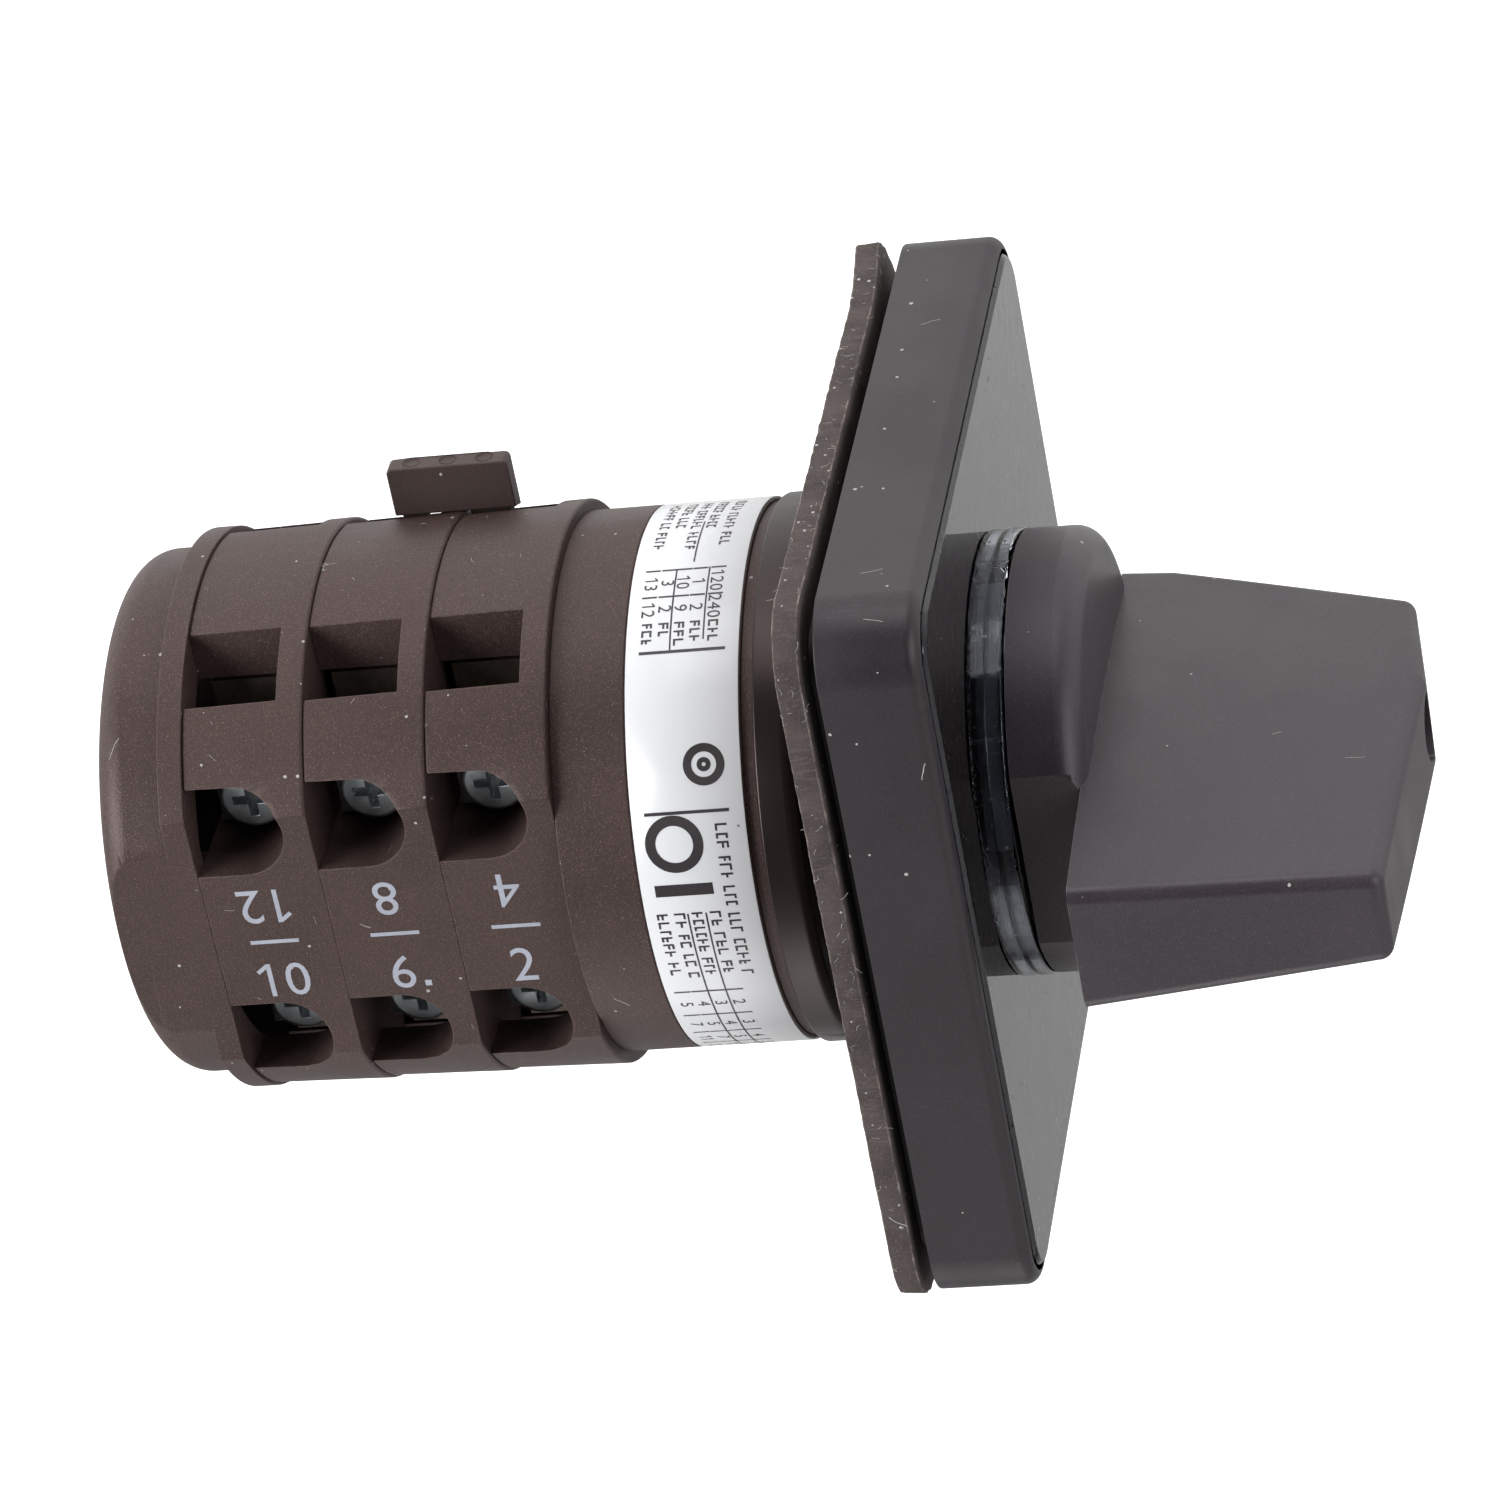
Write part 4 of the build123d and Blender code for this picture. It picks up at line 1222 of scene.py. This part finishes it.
@dataclass
class Jumper:
    """The insulated link's cover."""

    rounding: float = 0.1

    def build(self) -> None:
        """Dress the cover."""
        dress_copy("jumper_cover", "jumper_tab", JUMPER, "jumper_plastic", Body.HOUSING, self.rounding)


@dataclass
class Springs:
    """The coil springs of the contacts and of the detent."""

    decks: int = 3
    contact_travel: float = 1.9
    plunger_travel: float = 0.8

    def build(self) -> None:
        """Dress the return springs of the contacts and the springs of the detent."""
        for side in ("left", "right"):
            for index in range(1, self.decks + 1):
                self.dress(f"return_spring_{index}_{side}")
            self.dress(f"detent_spring_{side}")

    def dress(self, node: str) -> None:
        """Dress one spring and give it a mesh of its own.

        Args:
            node: the CAD node that it stands for.
        """
        name = f"{node}_coil"
        mesh = to_mesh(copy_part(node, 0.0), name)
        coil = place_piece(name, mesh, STEEL, "steel", Body.HOUSING, node)
        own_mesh(coil)


@dataclass
class Lint:
    """Loose fibres that lie on the outside of the switch."""

    seed: int = 3
    thickness: float = 0.018
    length: tuple[float, float] = (0.15, 0.75)

    def scatter(self, name: str, target: str, count: int, slot: str,
                sector: tuple[float, float] = (0.0, 2 * math.pi),
                stretch: tuple[float, float] = (0.0, 1.0)) -> None:
        """Lay fibres on one piece.

        Args:
            name: the name of the new piece.
            target: the name of the piece that they lie on.
            count: how many fibres.
            slot: the record's material slot.
            sector: the angles between which they lie, in radians from +X towards +Z.
            stretch: the shares of the piece's length between which they lie, from its front.
        """
        chance = random.Random(f"{self.seed} {target}")
        surface = bpy.data.objects[target]
        tree = BVHTree.FromObject(surface, bpy.context.evaluated_depsgraph_get())
        points = [surface.matrix_world @ Vector(corner) for corner in surface.bound_box]
        low, high = min(p.y for p in points), max(p.y for p in points)
        curve = bpy.data.curves.new(name, "CURVE")
        curve.dimensions = "3D"
        curve.bevel_depth = mm(self.thickness / 2)
        curve.bevel_resolution = 0
        for _ in range(count):
            angle = chance.uniform(*sector)
            height = low + (high - low) * chance.uniform(*stretch)
            away = Vector((math.cos(angle), 0, math.sin(angle)))
            hit, normal, _, _ = tree.ray_cast(away * 0.1 + Vector((0, height, 0)), -away)
            if hit is None:
                continue
            self.lay(curve, hit, normal, chance)
        holder = bpy.data.objects.new(name, curve)
        mesh = bpy.data.meshes.new_from_object(holder)
        bpy.data.objects.remove(holder)
        bpy.data.curves.remove(curve)
        mesh.name = name
        place_piece(name, mesh, LINT, slot, Body.HOUSING)

    def lay(self, curve: bpy.types.Curve, hit: Vector, normal: Vector, chance: random.Random) -> None:
        """Add one curled fibre at a point of the surface.

        Args:
            curve: the curve that gathers the fibres.
            hit: the point.
            normal: the surface's normal there.
            chance: the source of chance.
        """
        across = normal.orthogonal().normalized()
        across.rotate(Matrix.Rotation(chance.uniform(0, 2 * math.pi), 3, normal))
        length, bend = mm(chance.uniform(*self.length)), chance.uniform(-1.6, 1.6)
        spline = curve.splines.new("POLY")
        steps = 7
        spline.points.add(steps - 1)
        place, heading = hit + normal * mm(self.thickness), across
        for index in range(steps):
            spline.points[index].co = (*place, 1.0)
            spline.points[index].radius = chance.uniform(0.6, 1.1)
            heading = (Matrix.Rotation(bend / steps, 3, normal) @ heading).normalized()
            place = place + heading * (length / steps)


@dataclass
class Insides:
    """The CAD nodes that stay as they are and only get a finish."""

    def build(self) -> None:
        """Give every CAD node that still shows the finish of its slot."""
        slots = {part["node"]: part["material_slot"] for part in frame["record"]["subparts"]}
        for name, node in frame["nodes"].items():
            if node.hide_render:
                continue
            finish = SLOT_FINISH[slots[name]]
            if not node.data.materials:
                node.data.materials.append(None)
            for place in node.material_slots:
                place.material = finish.material()
        LOG.info("finished %d CAD nodes", sum(not node.hide_render for node in frame["nodes"].values()))


# ---------------------------------------------------------------- the studio
@dataclass
class Studio:
    """The camera, the lights and the pale floor."""

    location: Point = (0.21858, -0.07830, 0.34414)
    right: Point = (-0.17035, -0.97570, -0.13784)
    up: Point = (0.83584, -0.06899, -0.54462)
    back: Point = (0.52187, -0.20799, 0.82728)
    lens: float = 164.6
    floor_level: float = -120.0
    floor_tone: float = 0.5
    floor_glow: tuple[float, float] = (0.05, 0.75)  # of the lit sweep, from its far side to its near side
    room: float = 0.95
    shade: float = 0.05  # the room's light on the dim side
    dim_side: Point = (0.55, 0.05, 0.83)
    lamps: tuple[tuple[str, Point, float, float], ...] = (
        ("high_lamp", (0.50, 0.02, -0.02), 0.35, 0.9),
        ("low_lamp", (-0.44, 0.02, 0.26), 0.30, 0.35),
        ("rear_lamp", (0.16, 0.46, 0.32), 0.35, 3.6),
        ("front_lamp", (0.20, -0.42, 0.28), 0.35, 1.1),
    )

    def build(self) -> None:
        """Set up the whole studio."""
        scene = bpy.context.scene
        self.build_camera(scene)
        self.build_floor()
        self.build_world(scene)
        for name, place, size, power in self.lamps:
            self.add_light(name, Vector(place), size, power)
        scene.view_settings.view_transform = "Standard"

    def build_camera(self, scene: bpy.types.Scene) -> None:
        """Place the camera.

        Args:
            scene: the scene that it films.
        """
        data = bpy.data.cameras.new("camera")
        data.sensor_width = 36.0
        data.lens = self.lens
        data.clip_start, data.clip_end = 0.01, 10.0
        camera = bpy.data.objects.new("camera", data)
        scene.collection.objects.link(camera)
        turn = Matrix((self.right, self.up, self.back)).transposed().to_4x4()
        camera.matrix_world = Matrix.Translation(self.location) @ turn
        scene.camera = camera

    def build_floor(self) -> None:
        """Lay the pale floor well below the switch. It is seen from above only."""
        mesh = bpy.data.meshes.new("floor")
        shape = bmesh.new()
        bmesh.ops.create_grid(shape, x_segments=1, y_segments=1, size=3.0)
        bmesh.ops.translate(shape, verts=shape.verts, vec=(0, 0, mm(self.floor_level)))
        shape.to_mesh(mesh)
        shape.free()
        floor = bpy.data.objects.new("floor", mesh)
        bpy.context.scene.collection.objects.link(floor)
        material = bpy.data.materials.new("pale_floor")
        material.use_nodes = True
        tree = Tree(material.node_tree)
        shader = material.node_tree.nodes["Principled BSDF"]
        shader.inputs["Base Color"].default_value = (self.floor_tone, self.floor_tone, self.floor_tone, 1)
        shader.inputs["Roughness"].default_value = 0.9
        shader.inputs["Emission Color"].default_value = (1, 1, 1, 1)
        seen = tree.add("ShaderNodeLightPath").outputs["Is Camera Ray"]
        place = tree.add("ShaderNodeSeparateXYZ")
        tree.feed(place.inputs[0], tree.add("ShaderNodeTexCoord").outputs["Object"])
        glow = tree.ramp(place.outputs["X"], -0.08, 0.10, *self.floor_glow)
        tree.feed(shader.inputs["Emission Strength"], tree.math("MAXIMUM", seen, glow))
        underside = tree.add("ShaderNodeNewGeometry").outputs["Backfacing"]
        one_sided = tree.add("ShaderNodeMixShader")
        tree.feed(one_sided.inputs[0], underside)
        tree.feed(one_sided.inputs[1], shader.outputs[0])
        tree.feed(one_sided.inputs[2], tree.add("ShaderNodeBsdfTransparent").outputs[0])
        output = next(node for node in material.node_tree.nodes if node.type == "OUTPUT_MATERIAL")
        tree.feed(output.inputs["Surface"], one_sided.outputs[0])
        mesh.materials.append(material)

    def build_world(self, scene: bpy.types.Scene) -> None:
        """Fill the room with soft white light.

        Args:
            scene: the scene that it lights.
        """
        world = bpy.data.worlds.new("soft_room")
        world.use_nodes = True
        sky = world.node_tree.nodes["Background"]
        sky.inputs["Color"].default_value = (1, 1, 1, 1)
        tree = Tree(world.node_tree)
        heading = tree.add("ShaderNodeTexCoord").outputs["Generated"]
        facing_dim = tree.vector("DOT_PRODUCT", heading, self.dim_side).outputs["Value"]
        tree.feed(sky.inputs["Strength"], tree.ramp(facing_dim, 0.0, 0.8, self.room, self.shade))
        scene.world = world

    def add_light(self, name: str, place: Vector, size: float, power: float) -> None:
        """Add one large soft lamp that faces the switch.

        Args:
            name: the lamp's name.
            place: where it stands.
            size: the side of its square in metres.
            power: its power in watts.
        """
        data = bpy.data.lights.new(name, "AREA")
        data.shape = "SQUARE"
        data.size = size
        data.energy = power
        lamp = bpy.data.objects.new(name, data)
        bpy.context.scene.collection.objects.link(lamp)
        lamp.location = place
        lamp.rotation_mode = "QUATERNION"
        lamp.rotation_quaternion = (-place).to_track_quat("-Z", "Y")


def main() -> None:
    """Build every sub-assembly in order."""
    logging.basicConfig(level=logging.INFO, format="%(name)s %(message)s")
    for part in (Knob(), FrontPlate(), Gasket(), LockRing(), PrintedLabel(), Stack(), Jumper(),
                 Springs()):
        LOG.info("building %s", type(part).__name__)
        part.build()
    lint = Lint()
    lint.scatter("lint_on_gasket", "gasket_cut", 260, "gasket_rubber")
    for index in (1, 2, 3):
        lint.scatter(f"lint_on_deck_{index}", f"deck_moulding_{index}", 14, "thermoset")
    lint.scatter("lint_tuft", "deck_moulding_2", 16, "thermoset", sector=(0.02, 0.07), stretch=(0.93, 1.0))
    Insides().build()
    Studio().build()


if __name__ == "__main__":
    main()
